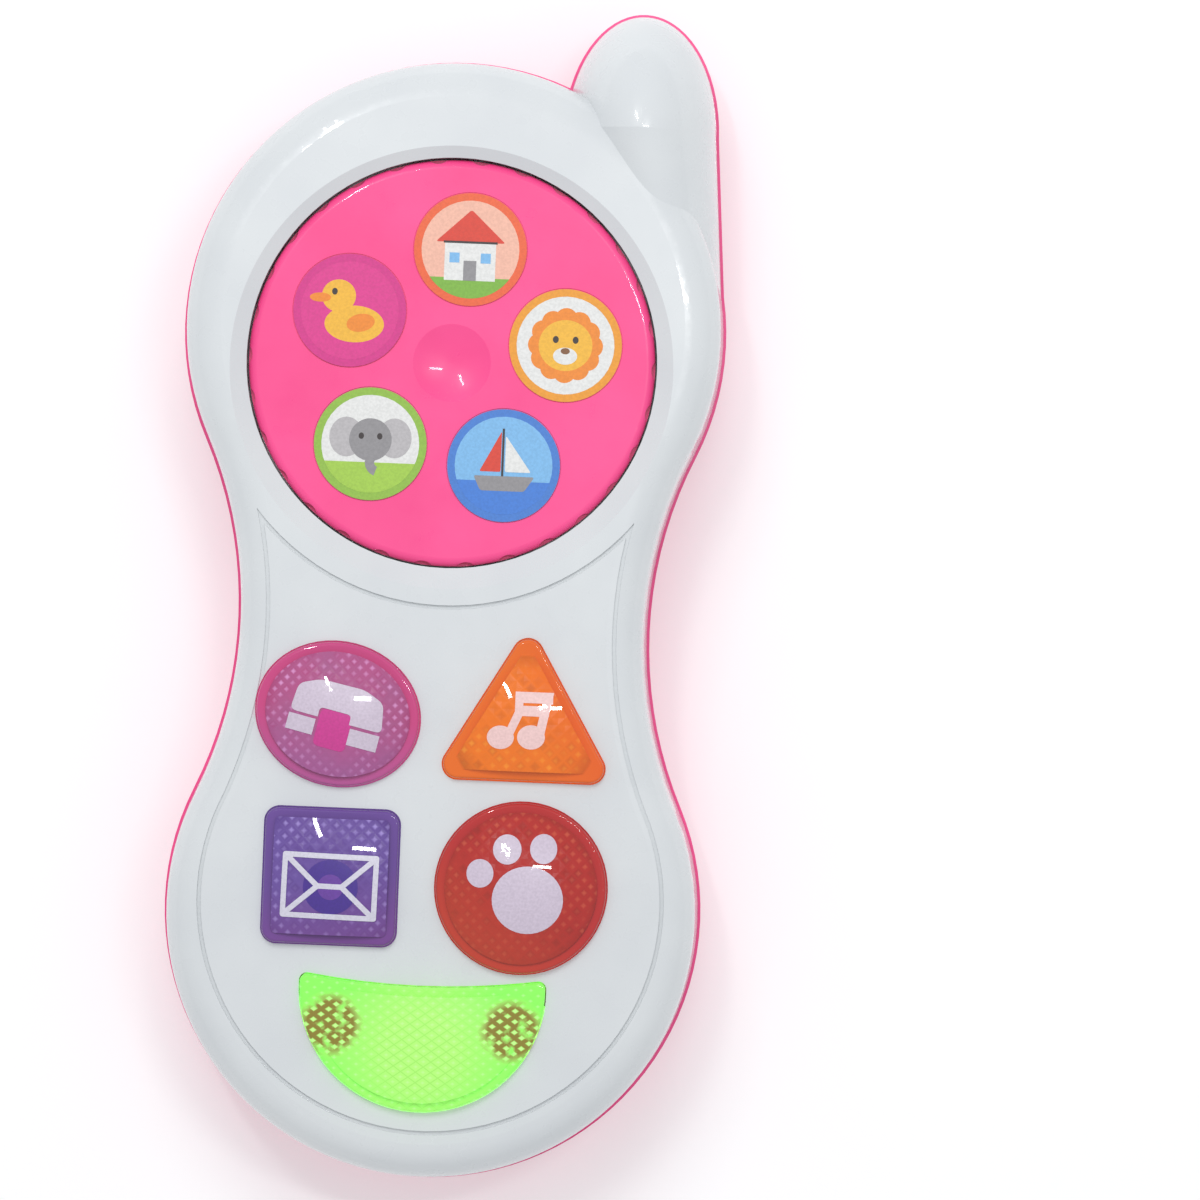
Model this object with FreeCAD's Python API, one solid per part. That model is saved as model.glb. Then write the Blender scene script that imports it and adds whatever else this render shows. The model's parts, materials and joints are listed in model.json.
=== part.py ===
import FreeCAD, Part
import math
import os

from FreeCAD import Vector

# Toy cell phone lying on its back, in millimetres.
# X is the width, +Y points to the antenna, +Z points out of the front face.
# The origin is the centre of the back's footprint, and the flat back is at z = 0.

# ---------------------------------------------------------------- driving dimensions

# Outline seen from the front: two circles joined by concave waist arcs.
HEAD_R = 38.4
FOOT_R = 38.0
HEAD_TO_FOOT = 82.6
WAIST_HALF = 29.1
REAR_PROUD = 0.4                # the rear casing stands out this much all round
FRONT_DRAFT = 0.053             # slope of the front casing's side wall

# Stub antenna, measured from the centre of the head.
LOBE_DX = 25.4
LOBE_DY = 29.3
LOBE_HALF_X = 10.8
LOBE_HALF_Y = 17.0
LOBE_HALF_UP = 18.0
LOBE_HALF_DOWN = 12.5
FAIRING_HALF_X = 5.4
FAIRING_SINK = 0.1
FAIRING_SHARE = 0.67            # height of the fairing's low end over that of the antenna

HEAD_Y = (HEAD_TO_FOOT + FOOT_R - LOBE_DY - LOBE_HALF_Y) / 2
FOOT_Y = HEAD_Y - HEAD_TO_FOOT

# Heights and walls.
PARTING_Z = 14.0
CROWN_Z = 31.0
CROWN_R = 1800.0                # radius of the gently domed front face
CROWN_Y = 10.0
FRONT_EDGE_R = 5.2
REAR_EDGE_R = 7.0
WALL = 2.0
LIP_HEIGHT = 1.5
LIP_GAP = 0.15
LIP_THICK = 1.0

# Spinning dial.
DIAL_Y = HEAD_Y - 4.8
BEZEL_CREST_R = 31.7
BEZEL_LIP_R = 28.95
BEZEL_LIP_Z = 29.3
WELL_WALL = 1.6
WELL_FLOOR_Z = 25.0
DIAL_R = 28.7
DIAL_Z0 = 25.5
DIAL_Z1 = 29.0
SCALLOPS = 30
SCALLOP_R = 2.0
SCALLOP_DEPTH = 0.55
SCALLOP_Z = 27.2                 # the scallops end on a plain flange
DIMPLE_R = 5.5
DIMPLE_DEPTH = 0.9
STICKER_R = 7.95
STICKER_RING_R = 16.2
STICKER_THICK = 0.3
STICKER_RECESS = 0.15
STICKER_ANGLES = (83.0, 11.0, -61.0, -133.0, 155.0)
STEM_R = 4.0
STEM_END_R = 2.6
COLLAR_R = 6.5
COLLAR_Z = 22.6
CLICK_R = 9.5
CLICK_NOTCHES = 24
CLICK_NOTCH_R = 0.9
CLICK_Z0 = 19.8
CLICK_Z1 = 22.3
LEAF_X = CLICK_R + 0.7
LEAF_THICK = 0.6
LEAF_BACK = 14.0                # how far the leaf reaches towards its screw
LEAF_FRONT = 4.0
LEAF_NUB_R = 0.55
LEAF_FOOT_X = 5.2
LEAF_FOOT_HALF_Y = 2.2
LEAF_Z0 = CLICK_Z0 + 0.2
LEAF_Z1 = CLICK_Z1 + 0.2
LEAF_SCREW_AT = (LEAF_X + 2.6, DIAL_Y - 16.0)
LEAF_BOSS_R = 2.8

# Engraved line round the lower panel.
PANEL_INSET = 4.7
PANEL_INSET_BOTTOM = 7.1
PANEL_ARC_R = 34.5
GROOVE_WIDTH = 0.6
GROOVE_DEPTH = 0.45

# Buttons and lens: places, sizes and heights.
OVAL_AT = (-14.0, -17.7)
OVAL_HALF_X = 11.55
OVAL_HALF_Y = 10.0
OVAL_TURN = -13.0
TRIANGLE_AT = (12.4, -18.7)
TRIANGLE_BASE = 25.6
TRIANGLE_HEIGHT = 21.8
SQUARE_AT = (-14.15, -40.6)
SQUARE_X = 18.8
SQUARE_Y = 19.0
CORNER_R = 2.0
MIN_CORNER_R = 0.5
ROUND_AT = (12.7, -41.2)
ROUND_R = 12.0
SMILE_AT = (-0.6, FOOT_Y - 10.5)
SMILE_R = 17.3
SMILE_CORNER_R = 1.0
SMILE_TOP_R = 106.0
SMILE_TOP_DROP = 0.3            # the middle of the top edge is this far above SMILE_AT
BUTTON_GAP = 0.25
LENS_GAP = 0.15
RIM_PROUD = 1.1
RIM_WIDTH = 1.3
CAP_WALL = 1.7
FLANGE_Z0 = 26.1
FLANGE_Z1 = 27.5
FLANGE_OUT = 0.8
LENS_FLANGE_Z0 = 25.9
POST_HALF = 2.3
POST_Z0 = 25.3

# Board, keypad and lamps.
BOARD_Z0 = 20.2
BOARD_Z1 = 21.8
BOARD_INSET = 4.5
KEYPAD_THICK = 0.8
DOME_BASE_R = 4.0
DOME_TOP_R = 2.6
DOME_GAP = 0.1
LAMP_R = 1.5
BOARD_SCREWS = ((0.0, -5.0), (-1.6, -29.3), (22.0, -62.0), (-22.0, -62.0))
SMILE_LAMPS = ((-9.0, -62.0), (0.0, -67.0), (9.0, -62.0))
TRIANGLE_LAMP = (6.2, -22.2)

# Case screws: two at the waist, two in the foot, one at the top of the head.
CASE_SCREWS = ((0.0, 68.7), (22.5, -2.5), (-22.5, -2.5), (29.6, -56.3), (-29.6, -56.3))
BOSS_R = 3.2
POST_R = 3.6
SINK_R = 3.1
SINK_DEPTH = 8.0
SCREW_HEAD_R = 2.7
SCREW_HEAD_H = 1.8
SCREW_R = 1.2
SCREW_LENGTH = 12.0
SCREW_TIP_Z = SINK_DEPTH + SCREW_HEAD_H + SCREW_LENGTH
CROSS_LONG = 1.5
CROSS_WIDE = 0.3
CROSS_DEEP = 0.9

# Battery box for two AA cells.
CELL_R = 7.2
CELL_LENGTH = 49.0
CELL_NUB_R = 2.7
CELL_NUB_H = 1.4
CELL_X = 7.5
CELL_Z = 9.6
BOX_HALF_X = 15.3
BOX_Y0 = -67.5
BOX_Y1 = -10.5
BOX_ROOF_Z = 17.1
BOX_WALL = 1.4
CELL_Y0 = (BOX_Y0 + BOX_Y1 - CELL_LENGTH) / 2
CELL_Y1 = CELL_Y0 + CELL_LENGTH
PLATE_THICK = 0.4
PLATE_GAP = 0.1
SPRING_WIRE_R = 0.35
TAB_Z = 14.0
TAB_END_Y = BOX_Y1 + BOX_WALL + 0.5
DOOR_HALF_X = 17.0
DOOR_Y0 = -70.0
DOOR_Y1 = -3.0
DOOR_Z0 = 0.3
DOOR_GAP = 0.3
DOOR_SCREW_Y = -6.5
LEDGE_THICK = 1.5
TAB_AT = (-9.0, 9.0)
TAB_HALF = 3.0
TAB_REACH = 2.0

# Speaker.
SPEAKER_Y = HEAD_Y
SPEAKER_R = 19.0
SPEAKER_Z = 2.4
SPEAKER_FLANGE = 1.0
SPEAKER_OPEN_R = 15.5
BASKET_R = 17.0
BASKET_NECK_R = 9.5
BASKET_TOP_Z = 9.0
BASKET_WALL = 1.0
BASKET_HOLE_R = 7.0
CONE_R = 15.2
CONE_NECK_R = 4.0
CONE_Z = 6.7
CONE_THICK = 0.5
MAGNET_R = 9.0
MAGNET_HEIGHT = 3.8
SEAT_R = 18.0
SEAT_INNER_R = 16.5
GRILLE_RINGS = ((0.0, 1), (5.0, 6), (10.0, 12))
GRILLE_HOLE_R = 1.1
SPEAKER_SCREW_RING = 21.5

# Power switch.
SWITCH_Y = 7.5
SWITCH_TRAVEL = 4.0
SWITCH_SLOT_X = SWITCH_TRAVEL + 0.3
SWITCH_SCREWS = ((-9.0, SWITCH_Y), (9.0, SWITCH_Y))
SWITCH_Z = 5.5
SWITCH_HALF_X = 7.0
SWITCH_HALF_Y = 3.5
SWITCH_TOP_Z = 10.0
SWITCH_EAR_HALF_X = 11.5
SWITCH_EAR_HALF_Y = 2.5
SWITCH_EAR_THICK = 1.0
SWITCH_WINDOW = (5.6, 1.4, 8.5)  # half width, half depth and top of the knob's pocket
KNOB_LENGTH = 4.0
KNOB_HALF_Y = 1.7
KNOB_Z = 0.4
KNOB_BASE_OUT = 1.2
KNOB_BASE_HALF_Y = 2.8
KNOB_PIN_TOP = 7.5

# Wires.
WIRE_R = 0.6
WIRE_BEND = 0.45                # share of the shorter run that a bend takes up

BIG = 200.0                     # larger than the whole toy
EMBED = 0.2                     # how far joined features reach into each other

# ---------------------------------------------------------------- small helpers


def box(x0, x1, y0, y1, z0, z1):
    return Part.makeBox(x1 - x0, y1 - y0, z1 - z0, Vector(x0, y0, z0))


def disc(x, y, radius, z0, z1):
    return Part.makeCylinder(radius, z1 - z0, Vector(x, y, z0))


def ring(x, y, outer, inner, z0, z1):
    return disc(x, y, outer, z0, z1).cut(disc(x, y, inner, z0 - 1, z1 + 1))


def cone(x, y, r0, r1, z0, z1):
    return Part.makeCone(r0, r1, z1 - z0, Vector(x, y, z0))


def rod_y(x, z, radius, y0, y1):
    return Part.makeCylinder(radius, y1 - y0, Vector(x, y0, z), Vector(0, 1, 0))


def fused(shapes):
    shapes = list(shapes)
    return shapes[0].multiFuse(shapes[1:]).removeSplitter()


def edges_above(shape, z):
    return [edge for edge in shape.Edges if edge.BoundBox.ZMin > z]


def edges_below(shape, z):
    return [edge for edge in shape.Edges if edge.BoundBox.ZMax < z]


def upright_edges(shape, height):
    found = []
    for edge in shape.Edges:
        size = edge.BoundBox
        if size.ZLength > height * 0.99 and size.XLength + size.YLength < 0.01:
            found.append(edge)
    return found


def crown_height(x, y):
    """Height of the domed front face over a place on the plan."""
    return CROWN_Z - (x * x + (y - CROWN_Y) ** 2) / (2 * CROWN_R)


# ---------------------------------------------------------------- outline and casing bodies


def waist_arc():
    """Radius and centre height of the concave arcs that touch both circles."""
    low, high = 1.0, 500.0
    for _ in range(60):
        radius = (low + high) / 2
        side = WAIST_HALF + radius
        to_head = math.sqrt((HEAD_R + radius) ** 2 - side ** 2)
        to_foot = math.sqrt((FOOT_R + radius) ** 2 - side ** 2)
        if to_head + to_foot < HEAD_TO_FOOT:
            low = radius
        else:
            high = radius
    return radius, HEAD_Y - to_head


WAIST_R, WAIST_Y = waist_arc()
WAIST_X = WAIST_HALF + WAIST_R


def touch_point(centre_y, radius):
    """Where a head or foot circle meets the right waist arc."""
    towards = Vector(WAIST_X, WAIST_Y - centre_y, 0).normalize()
    return Vector(0, centre_y, 0) + towards * radius


def mirrored(point):
    return Vector(-point.x, point.y, 0)


def outline(inset, bottom_inset=None):
    """Plan of the toy without its antenna, moved inwards by inset."""
    if bottom_inset is None:
        bottom_inset = inset
    head = touch_point(HEAD_Y, HEAD_R - inset)
    foot = touch_point(FOOT_Y, FOOT_R - inset)
    waist = Vector(WAIST_X - WAIST_R - inset, WAIST_Y, 0)
    top = Vector(0, HEAD_Y + HEAD_R - inset, 0)
    bottom = Vector(0, FOOT_Y - FOOT_R + bottom_inset, 0)
    arcs = [Part.Arc(mirrored(head), top, head),
            Part.Arc(head, waist, foot),
            Part.Arc(foot, bottom, mirrored(foot)),
            Part.Arc(mirrored(foot), mirrored(waist), mirrored(head))]
    return Part.Wire([arc.toShape() for arc in arcs])


def prism(inset, z0, z1, bottom_inset=None):
    face = Part.Face(outline(inset, bottom_inset))
    face.translate(Vector(0, 0, z0))
    return face.extrude(Vector(0, 0, z1 - z0))


def drafted_prism(inset, z1):
    """Block above the parting plane whose side wall leans in as it rises."""
    low = outline(inset)
    low.translate(Vector(0, 0, PARTING_Z))
    high = outline(inset + FRONT_DRAFT * (z1 - PARTING_Z))
    high.translate(Vector(0, 0, z1))
    return Part.makeLoft([low, high], True, True)


def crown_ball(drop):
    """Everything below the domed front face lowered by drop; its poles lie far off along Y."""
    centre = Vector(0, CROWN_Y, CROWN_Z - drop - CROWN_R)
    ball = Part.makeSphere(CROWN_R, centre)
    ball.rotate(centre, Vector(1, 0, 0), 90)
    return ball


def stretched(shape, x, y, z):
    matrix = FreeCAD.Matrix()
    matrix.scale(x, y, z)
    return shape.transformGeometry(matrix)


def upright_ellipse(x, y, half_x, half_z):
    """Ellipse in a plane across the toy's length, centred on the parting plane."""
    circle = Part.Wire(Part.makeCircle(1.0, Vector(0, 0, 0), Vector(0, 1, 0)))
    ellipse = stretched(circle, half_x, 1.0, half_z)
    ellipse.translate(Vector(x, y, PARTING_Z))
    return ellipse


def antenna_egg(inset, half_z):
    egg = stretched(Part.makeSphere(1.0), LOBE_HALF_X - inset, LOBE_HALF_Y - inset, half_z - inset)
    egg.translate(Vector(LOBE_DX, HEAD_Y + LOBE_DY, PARTING_Z))
    return egg


def antenna_skin(inset, half_z):
    """Outer end of the egg, and the fairing that tapers from its middle into the head's side."""
    middle_y = HEAD_Y + LOBE_DY
    tip = antenna_egg(inset, half_z).common(box(-BIG, BIG, middle_y, BIG, -BIG, BIG))
    upper = upright_ellipse(LOBE_DX, middle_y, LOBE_HALF_X - inset, half_z - inset)
    low_x = HEAD_R - FAIRING_HALF_X - FAIRING_SINK
    low_z = half_z * FAIRING_SHARE
    lower = upright_ellipse(low_x, HEAD_Y, FAIRING_HALF_X - inset, low_z - inset)
    return [tip, Part.makeLoft([upper, lower], True, True)]


def with_antenna(block, inset, half_z, half_space):
    """The antenna's skin outside, and a plain egg for the hollows inside."""
    parts = antenna_skin(inset, half_z) if inset <= 0 else [antenna_egg(inset, half_z)]
    return fused([block] + [part.common(half_space) for part in parts])


def front_body(inset):
    """Solid front half moved inwards by inset, closed at the parting plane."""
    block = drafted_prism(inset, CROWN_Z + 5).common(crown_ball(inset))
    top_edges = edges_above(block, (PARTING_Z + CROWN_Z) / 2)
    block = block.makeFillet(FRONT_EDGE_R - inset, top_edges)
    upper = box(-BIG, BIG, -BIG, BIG, PARTING_Z, BIG)
    return with_antenna(block, inset, LOBE_HALF_UP, upper)


def rear_body(inset):
    """Solid rear half moved inwards by inset, with a flat back."""
    block = prism(inset, max(inset, 0), PARTING_Z)
    block = block.makeFillet(REAR_EDGE_R - inset, edges_below(block, max(inset, 0) + 1))
    lower = box(-BIG, BIG, -BIG, BIG, 0, PARTING_Z)
    return with_antenna(block, inset, LOBE_HALF_DOWN, lower)


# ---------------------------------------------------------------- button and lens plans


def oval_prism(inset, z0, z1):
    round_block = Part.makeCylinder(1.0, z1 - z0, Vector(0, 0, z0))
    block = stretched(round_block, OVAL_HALF_X - inset, OVAL_HALF_Y - inset, 1.0)
    block.rotate(Vector(0, 0, 0), Vector(0, 0, 1), OVAL_TURN)
    block.translate(Vector(OVAL_AT[0], OVAL_AT[1], 0))
    return block


def rounded_polygon(points, radius, z0, z1):
    corners = [Vector(x, y, z0) for x, y in points]
    face = Part.Face(Part.makePolygon(corners + corners[:1]))
    block = face.extrude(Vector(0, 0, z1 - z0))
    return block.makeFillet(radius, upright_edges(block, z1 - z0))


def triangle_prism(inset, z0, z1):
    """Isosceles triangle about its inscribed circle's centre, with rounded corners."""
    half = TRIANGLE_BASE / 2
    side = math.hypot(half, TRIANGLE_HEIGHT)
    inner_r = half * TRIANGLE_HEIGHT / (half + side)
    scale = (inner_r - inset) / inner_r
    x, y = TRIANGLE_AT
    base_y = y - inner_r * scale
    top_y = y + (TRIANGLE_HEIGHT - inner_r) * scale
    points = ((x - half * scale, base_y), (x + half * scale, base_y), (x, top_y))
    return rounded_polygon(points, max(CORNER_R - inset, MIN_CORNER_R), z0, z1)


def square_prism(inset, z0, z1):
    x, y = SQUARE_AT
    half_x = SQUARE_X / 2 - inset
    half_y = SQUARE_Y / 2 - inset
    points = ((x - half_x, y - half_y), (x + half_x, y - half_y),
              (x + half_x, y + half_y), (x - half_x, y + half_y))
    return rounded_polygon(points, max(CORNER_R - inset, MIN_CORNER_R), z0, z1)


def round_prism(inset, z0, z1):
    return disc(ROUND_AT[0], ROUND_AT[1], ROUND_R - inset, z0, z1)


def smile_prism(inset, z0, z1):
    """Half disc whose top edge sags a little in the middle."""
    x, y = SMILE_AT
    top_y = y + SMILE_TOP_DROP + SMILE_TOP_R
    block = disc(x, y, SMILE_R - inset, z0, z1)
    block = block.cut(disc(x, top_y, SMILE_TOP_R + inset, z0 - 1, z1 + 1))
    return block.makeFillet(max(SMILE_CORNER_R - inset, MIN_CORNER_R), upright_edges(block, z1 - z0))


# name: plan, centre, radius of the domed top, rise of the domed top over the rim
BUTTONS = {
    "oval": (oval_prism, OVAL_AT, 24.0, 2.5),
    "triangle": (triangle_prism, TRIANGLE_AT, 30.0, 1.9),
    "square": (square_prism, SQUARE_AT, 34.0, 2.1),
    "round": (round_prism, ROUND_AT, 26.0, 2.7),
}


def domed_cap(plan, at, ball_r, rise, dome_inset, foot_z):
    """Flat-rimmed cap with a domed middle, hollow from below."""
    x, y = at
    rim_z = crown_height(x, y) + RIM_PROUD
    rim = plan(0.0, foot_z, rim_z)
    rim = rim.makeFillet(0.45, edges_above(rim, rim_z - 0.1))
    ball = Part.makeSphere(ball_r, Vector(x, y, rim_z + rise - ball_r))
    dome = plan(dome_inset, rim_z - EMBED, rim_z + rise + 1).common(ball)
    hollow = plan(CAP_WALL, foot_z - 1, rim_z - CAP_WALL)
    return rim.fuse(dome).removeSplitter().cut(hollow), rim_z


# ---------------------------------------------------------------- casings


def panel_groove():
    """Thin engraved line that bounds the lower panel."""
    half = GROOVE_WIDTH / 2
    panels = []
    for step in (-half, half):
        panel = prism(PANEL_INSET + step, PARTING_Z, BIG, PANEL_INSET_BOTTOM + step)
        panel = panel.cut(disc(0, DIAL_Y, PANEL_ARC_R + step, 0, BIG + 1))
        panels.append(panel.common(box(-BIG, BIG, -BIG, DIAL_Y - 1, 0, BIG)))
    return panels[0].cut(panels[1]).cut(crown_ball(GROOVE_DEPTH))


def dial_opening():
    """Space over the well's floor, widening into the sloped bezel."""
    crest_z = crown_height(0, DIAL_Y)
    slope = (BEZEL_CREST_R - BEZEL_LIP_R) / (crest_z - BEZEL_LIP_Z)
    over = 2.0
    profile = [(0, WELL_FLOOR_Z), (BEZEL_LIP_R, WELL_FLOOR_Z), (BEZEL_LIP_R, BEZEL_LIP_Z),
               (BEZEL_CREST_R + slope * over, crest_z + over), (0, crest_z + over)]
    corners = [Vector(r, DIAL_Y, z) for r, z in profile]
    face = Part.Face(Part.makePolygon(corners + corners[:1]))
    return face.revolve(Vector(0, DIAL_Y, 0), Vector(0, 0, 1), 360)


def front_shell():
    shell = front_body(0.0).cut(front_body(WALL))
    inside = front_body(WALL / 2)
    rim_r = BEZEL_LIP_R + WELL_WALL
    well = ring(0, DIAL_Y, rim_r, BEZEL_LIP_R, WELL_FLOOR_Z - WALL, BEZEL_LIP_Z)
    floor = disc(0, DIAL_Y, rim_r, WELL_FLOOR_Z - WELL_WALL, WELL_FLOOR_Z)
    collar = disc(0, DIAL_Y, COLLAR_R, COLLAR_Z, WELL_FLOOR_Z - EMBED)
    funnel = ring(0, DIAL_Y, BEZEL_CREST_R + 1.3, BEZEL_LIP_R, BEZEL_LIP_Z - WALL, BIG)
    leaf_boss = disc(*LEAF_SCREW_AT, LEAF_BOSS_R, LEAF_Z1, WELL_FLOOR_Z - EMBED)
    added = [well, floor, collar, leaf_boss, funnel.common(inside)]
    for x, y in CASE_SCREWS:
        added.append(disc(x, y, BOSS_R, PARTING_Z, BIG).common(inside))
    for x, y in BOARD_SCREWS:
        added.append(disc(x, y, 2.2, BOARD_Z1, BIG).common(inside))
    shell = fused([shell] + added)

    shell = shell.cut(dial_opening())
    shell = shell.cut(disc(0, DIAL_Y, STEM_R + 0.08, COLLAR_Z - 1, BIG))
    shell = shell.cut(disc(*LEAF_SCREW_AT, 1.0, LEAF_Z1 - 1, WELL_FLOOR_Z - 0.6))
    for plan, *_ in BUTTONS.values():
        shell = shell.cut(plan(-BUTTON_GAP, FLANGE_Z0 - 2, BIG))
    shell = shell.cut(smile_prism(-LENS_GAP, FLANGE_Z0 - 2, BIG))
    shell = shell.cut(panel_groove())
    for x, y in CASE_SCREWS:
        shell = shell.cut(disc(x, y, SCREW_R + 0.05, PARTING_Z - 1, SCREW_TIP_Z + 0.5))
    for x, y in BOARD_SCREWS:
        shell = shell.cut(disc(x, y, 1.0, BOARD_Z1 - 1, BOARD_Z1 + 4.5))
    return shell


def joint_lip():
    """Tongue on the rear casing that drops inside the front casing."""
    low = prism(WALL - LIP_GAP, PARTING_Z - 2.5, PARTING_Z)
    low = low.cut(prism(WALL + LIP_GAP + LIP_THICK, PARTING_Z - 3, PARTING_Z + 1))
    high = prism(WALL + LIP_GAP, PARTING_Z - EMBED, PARTING_Z + LIP_HEIGHT)
    high = high.cut(prism(WALL + LIP_GAP + LIP_THICK, PARTING_Z - 3, PARTING_Z + 3))
    lip = low.fuse(high)
    lip = lip.cut(disc(LOBE_DX, HEAD_Y + LOBE_DY - 6, 17.0, 0, BIG))
    for x, y in CASE_SCREWS:
        lip = lip.cut(disc(x, y, POST_R + 0.4, 0, BIG))
    return lip


def battery_box():
    """Walls, roof and door ledge of the cell compartment."""
    outer = box(-BOX_HALF_X - BOX_WALL, BOX_HALF_X + BOX_WALL, BOX_Y0 - BOX_WALL,
                BOX_Y1 + BOX_WALL, WALL - EMBED, BOX_ROOF_Z + BOX_WALL)
    ledge_z = DOOR_Z0 + WALL
    ledge = box(-DOOR_HALF_X - 2, DOOR_HALF_X + 2, DOOR_Y0 + 0.6, DOOR_Y1 + 2,
                ledge_z, ledge_z + LEDGE_THICK)
    frame = box(-DOOR_HALF_X - 2, DOOR_HALF_X + 2, BOX_Y0, DOOR_Y1 + 2, WALL - EMBED, ledge_z + 1)
    boss = disc(0, DOOR_SCREW_Y, 3.4, ledge_z, 12.0)
    inner = box(-BOX_HALF_X, BOX_HALF_X, BOX_Y0, BOX_Y1, -1, BOX_ROOF_Z)
    walls = fused([outer, ledge, frame, boss]).cut(inner)
    for x in (-CELL_X, CELL_X):
        walls = walls.cut(box(x - 1.8, x + 1.8, BOX_Y1 - 1, TAB_END_Y, TAB_Z - 0.8, TAB_Z + 0.8))
    return walls


def door_recess():
    return box(-DOOR_HALF_X - DOOR_GAP, DOOR_HALF_X + DOOR_GAP, DOOR_Y0 - DOOR_GAP,
               DOOR_Y1 + DOOR_GAP, -1, DOOR_Z0 + WALL)


def tab_pocket(x):
    """Room for a door tab as it turns out with the door."""
    return box(x - TAB_HALF - DOOR_GAP, x + TAB_HALF + DOOR_GAP, DOOR_Y0 - TAB_REACH - 0.4,
               BOX_Y0 + 0.5, WALL, WALL + 2.1)


def speaker_screw_places():
    places = []
    for turn in (90, 210, 330):
        angle = math.radians(turn)
        places.append((SPEAKER_SCREW_RING * math.cos(angle),
                       SPEAKER_Y + SPEAKER_SCREW_RING * math.sin(angle)))
    return places


def rear_shell():
    shell = rear_body(-REAR_PROUD).cut(rear_body(WALL))
    inside = rear_body(WALL / 2)
    added = [joint_lip(), battery_box()]
    for x, y in CASE_SCREWS:
        added.append(disc(x, y, POST_R, 0, PARTING_Z).common(rear_body(0.2)))
    added.append(ring(0, SPEAKER_Y, SEAT_R, SEAT_INNER_R, WALL - EMBED, SPEAKER_Z))
    for x, y in speaker_screw_places():
        added.append(disc(x, y, 2.4, WALL - EMBED, SPEAKER_Z + SPEAKER_FLANGE))
    for x, y in SWITCH_SCREWS:
        added.append(disc(x, y, 2.2, WALL - EMBED, SWITCH_Z))
    shell = fused([shell] + added)

    shell = shell.cut(door_recess())
    for x in TAB_AT:
        shell = shell.cut(tab_pocket(x))
    shell = shell.cut(disc(0, DOOR_SCREW_Y, 1.7, -1, 11.0))
    for x, y in CASE_SCREWS:
        shell = shell.cut(disc(x, y, SINK_R, -1, SINK_DEPTH))
        shell = shell.cut(disc(x, y, 1.5, -1, PARTING_Z + 3))
    for ring_r, count in GRILLE_RINGS:
        for i in range(count):
            angle = 2 * math.pi * i / count
            x = ring_r * math.cos(angle)
            y = SPEAKER_Y + ring_r * math.sin(angle)
            shell = shell.cut(disc(x, y, GRILLE_HOLE_R, -1, WALL + 0.2))
    for x, y in speaker_screw_places():
        shell = shell.cut(disc(x, y, 1.05, 0.8, BIG))
    for x, y in SWITCH_SCREWS:
        shell = shell.cut(disc(x, y, 0.95, 2.5, BIG))
    slot = box(-SWITCH_SLOT_X, SWITCH_SLOT_X, SWITCH_Y - 2, SWITCH_Y + 2, -1, WALL + 0.2)
    return shell.cut(slot)


def case_screws():
    screws = []
    for x, y in CASE_SCREWS:
        head = cone(x, y, SCREW_HEAD_R - 0.5, SCREW_HEAD_R, SINK_DEPTH - SCREW_HEAD_H, SINK_DEPTH)
        shank = disc(x, y, SCREW_R, SINK_DEPTH - EMBED, SCREW_TIP_Z - SCREW_HEAD_H)
        screws.append(with_cross(head.fuse(shank), x, y, SINK_DEPTH - SCREW_HEAD_H, 1))
    return Part.makeCompound(screws)


def with_cross(screw, x, y, face_z, side):
    """Cross recess in a screw head; side is +1 where the head looks down, -1 where it looks up."""
    z0 = face_z - 1 if side > 0 else face_z - CROSS_DEEP
    z1 = face_z + CROSS_DEEP if side > 0 else face_z + 1
    for long_x, long_y in ((CROSS_LONG, CROSS_WIDE), (CROSS_WIDE, CROSS_LONG)):
        screw = screw.cut(box(x - long_x, x + long_x, y - long_y, y + long_y, z0, z1))
    return screw


# ---------------------------------------------------------------- dial


def sticker_places():
    places = []
    for turn in STICKER_ANGLES:
        angle = math.radians(turn)
        places.append((STICKER_RING_R * math.cos(angle), DIAL_Y + STICKER_RING_R * math.sin(angle)))
    return places


def spin_dial():
    plate = disc(0, DIAL_Y, DIAL_R, DIAL_Z0, DIAL_Z1)
    plate = plate.makeFillet(1.2, edges_above(plate, DIAL_Z1 - 0.1))
    stem = disc(0, DIAL_Y, STEM_R, CLICK_Z1, DIAL_Z0 + EMBED)
    stem_end = disc(0, DIAL_Y, STEM_END_R, CLICK_Z0, CLICK_Z1 + EMBED)
    dial = fused([plate, stem, stem_end])
    for i in range(SCALLOPS):
        angle = 2 * math.pi * i / SCALLOPS
        reach = DIAL_R + SCALLOP_R - SCALLOP_DEPTH
        x = reach * math.cos(angle)
        y = DIAL_Y + reach * math.sin(angle)
        dial = dial.cut(disc(x, y, SCALLOP_R, SCALLOP_Z, DIAL_Z1 + 1))
    for x, y in sticker_places():
        dial = dial.cut(disc(x, y, STICKER_R + 0.15, DIAL_Z1 - STICKER_RECESS, DIAL_Z1 + 1))
    ball_r = (DIMPLE_R ** 2 + DIMPLE_DEPTH ** 2) / (2 * DIMPLE_DEPTH)
    dial = dial.cut(Part.makeSphere(ball_r, Vector(0, DIAL_Y, DIAL_Z1 - DIMPLE_DEPTH + ball_r)))
    return dial.cut(disc(0, DIAL_Y, SCREW_R, CLICK_Z0 - 1, DIAL_Z0 + 0.5))


def picture_sticker(x, y):
    z0 = DIAL_Z1 - STICKER_RECESS
    return disc(x, y, STICKER_R, z0, z0 + STICKER_THICK)


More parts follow.
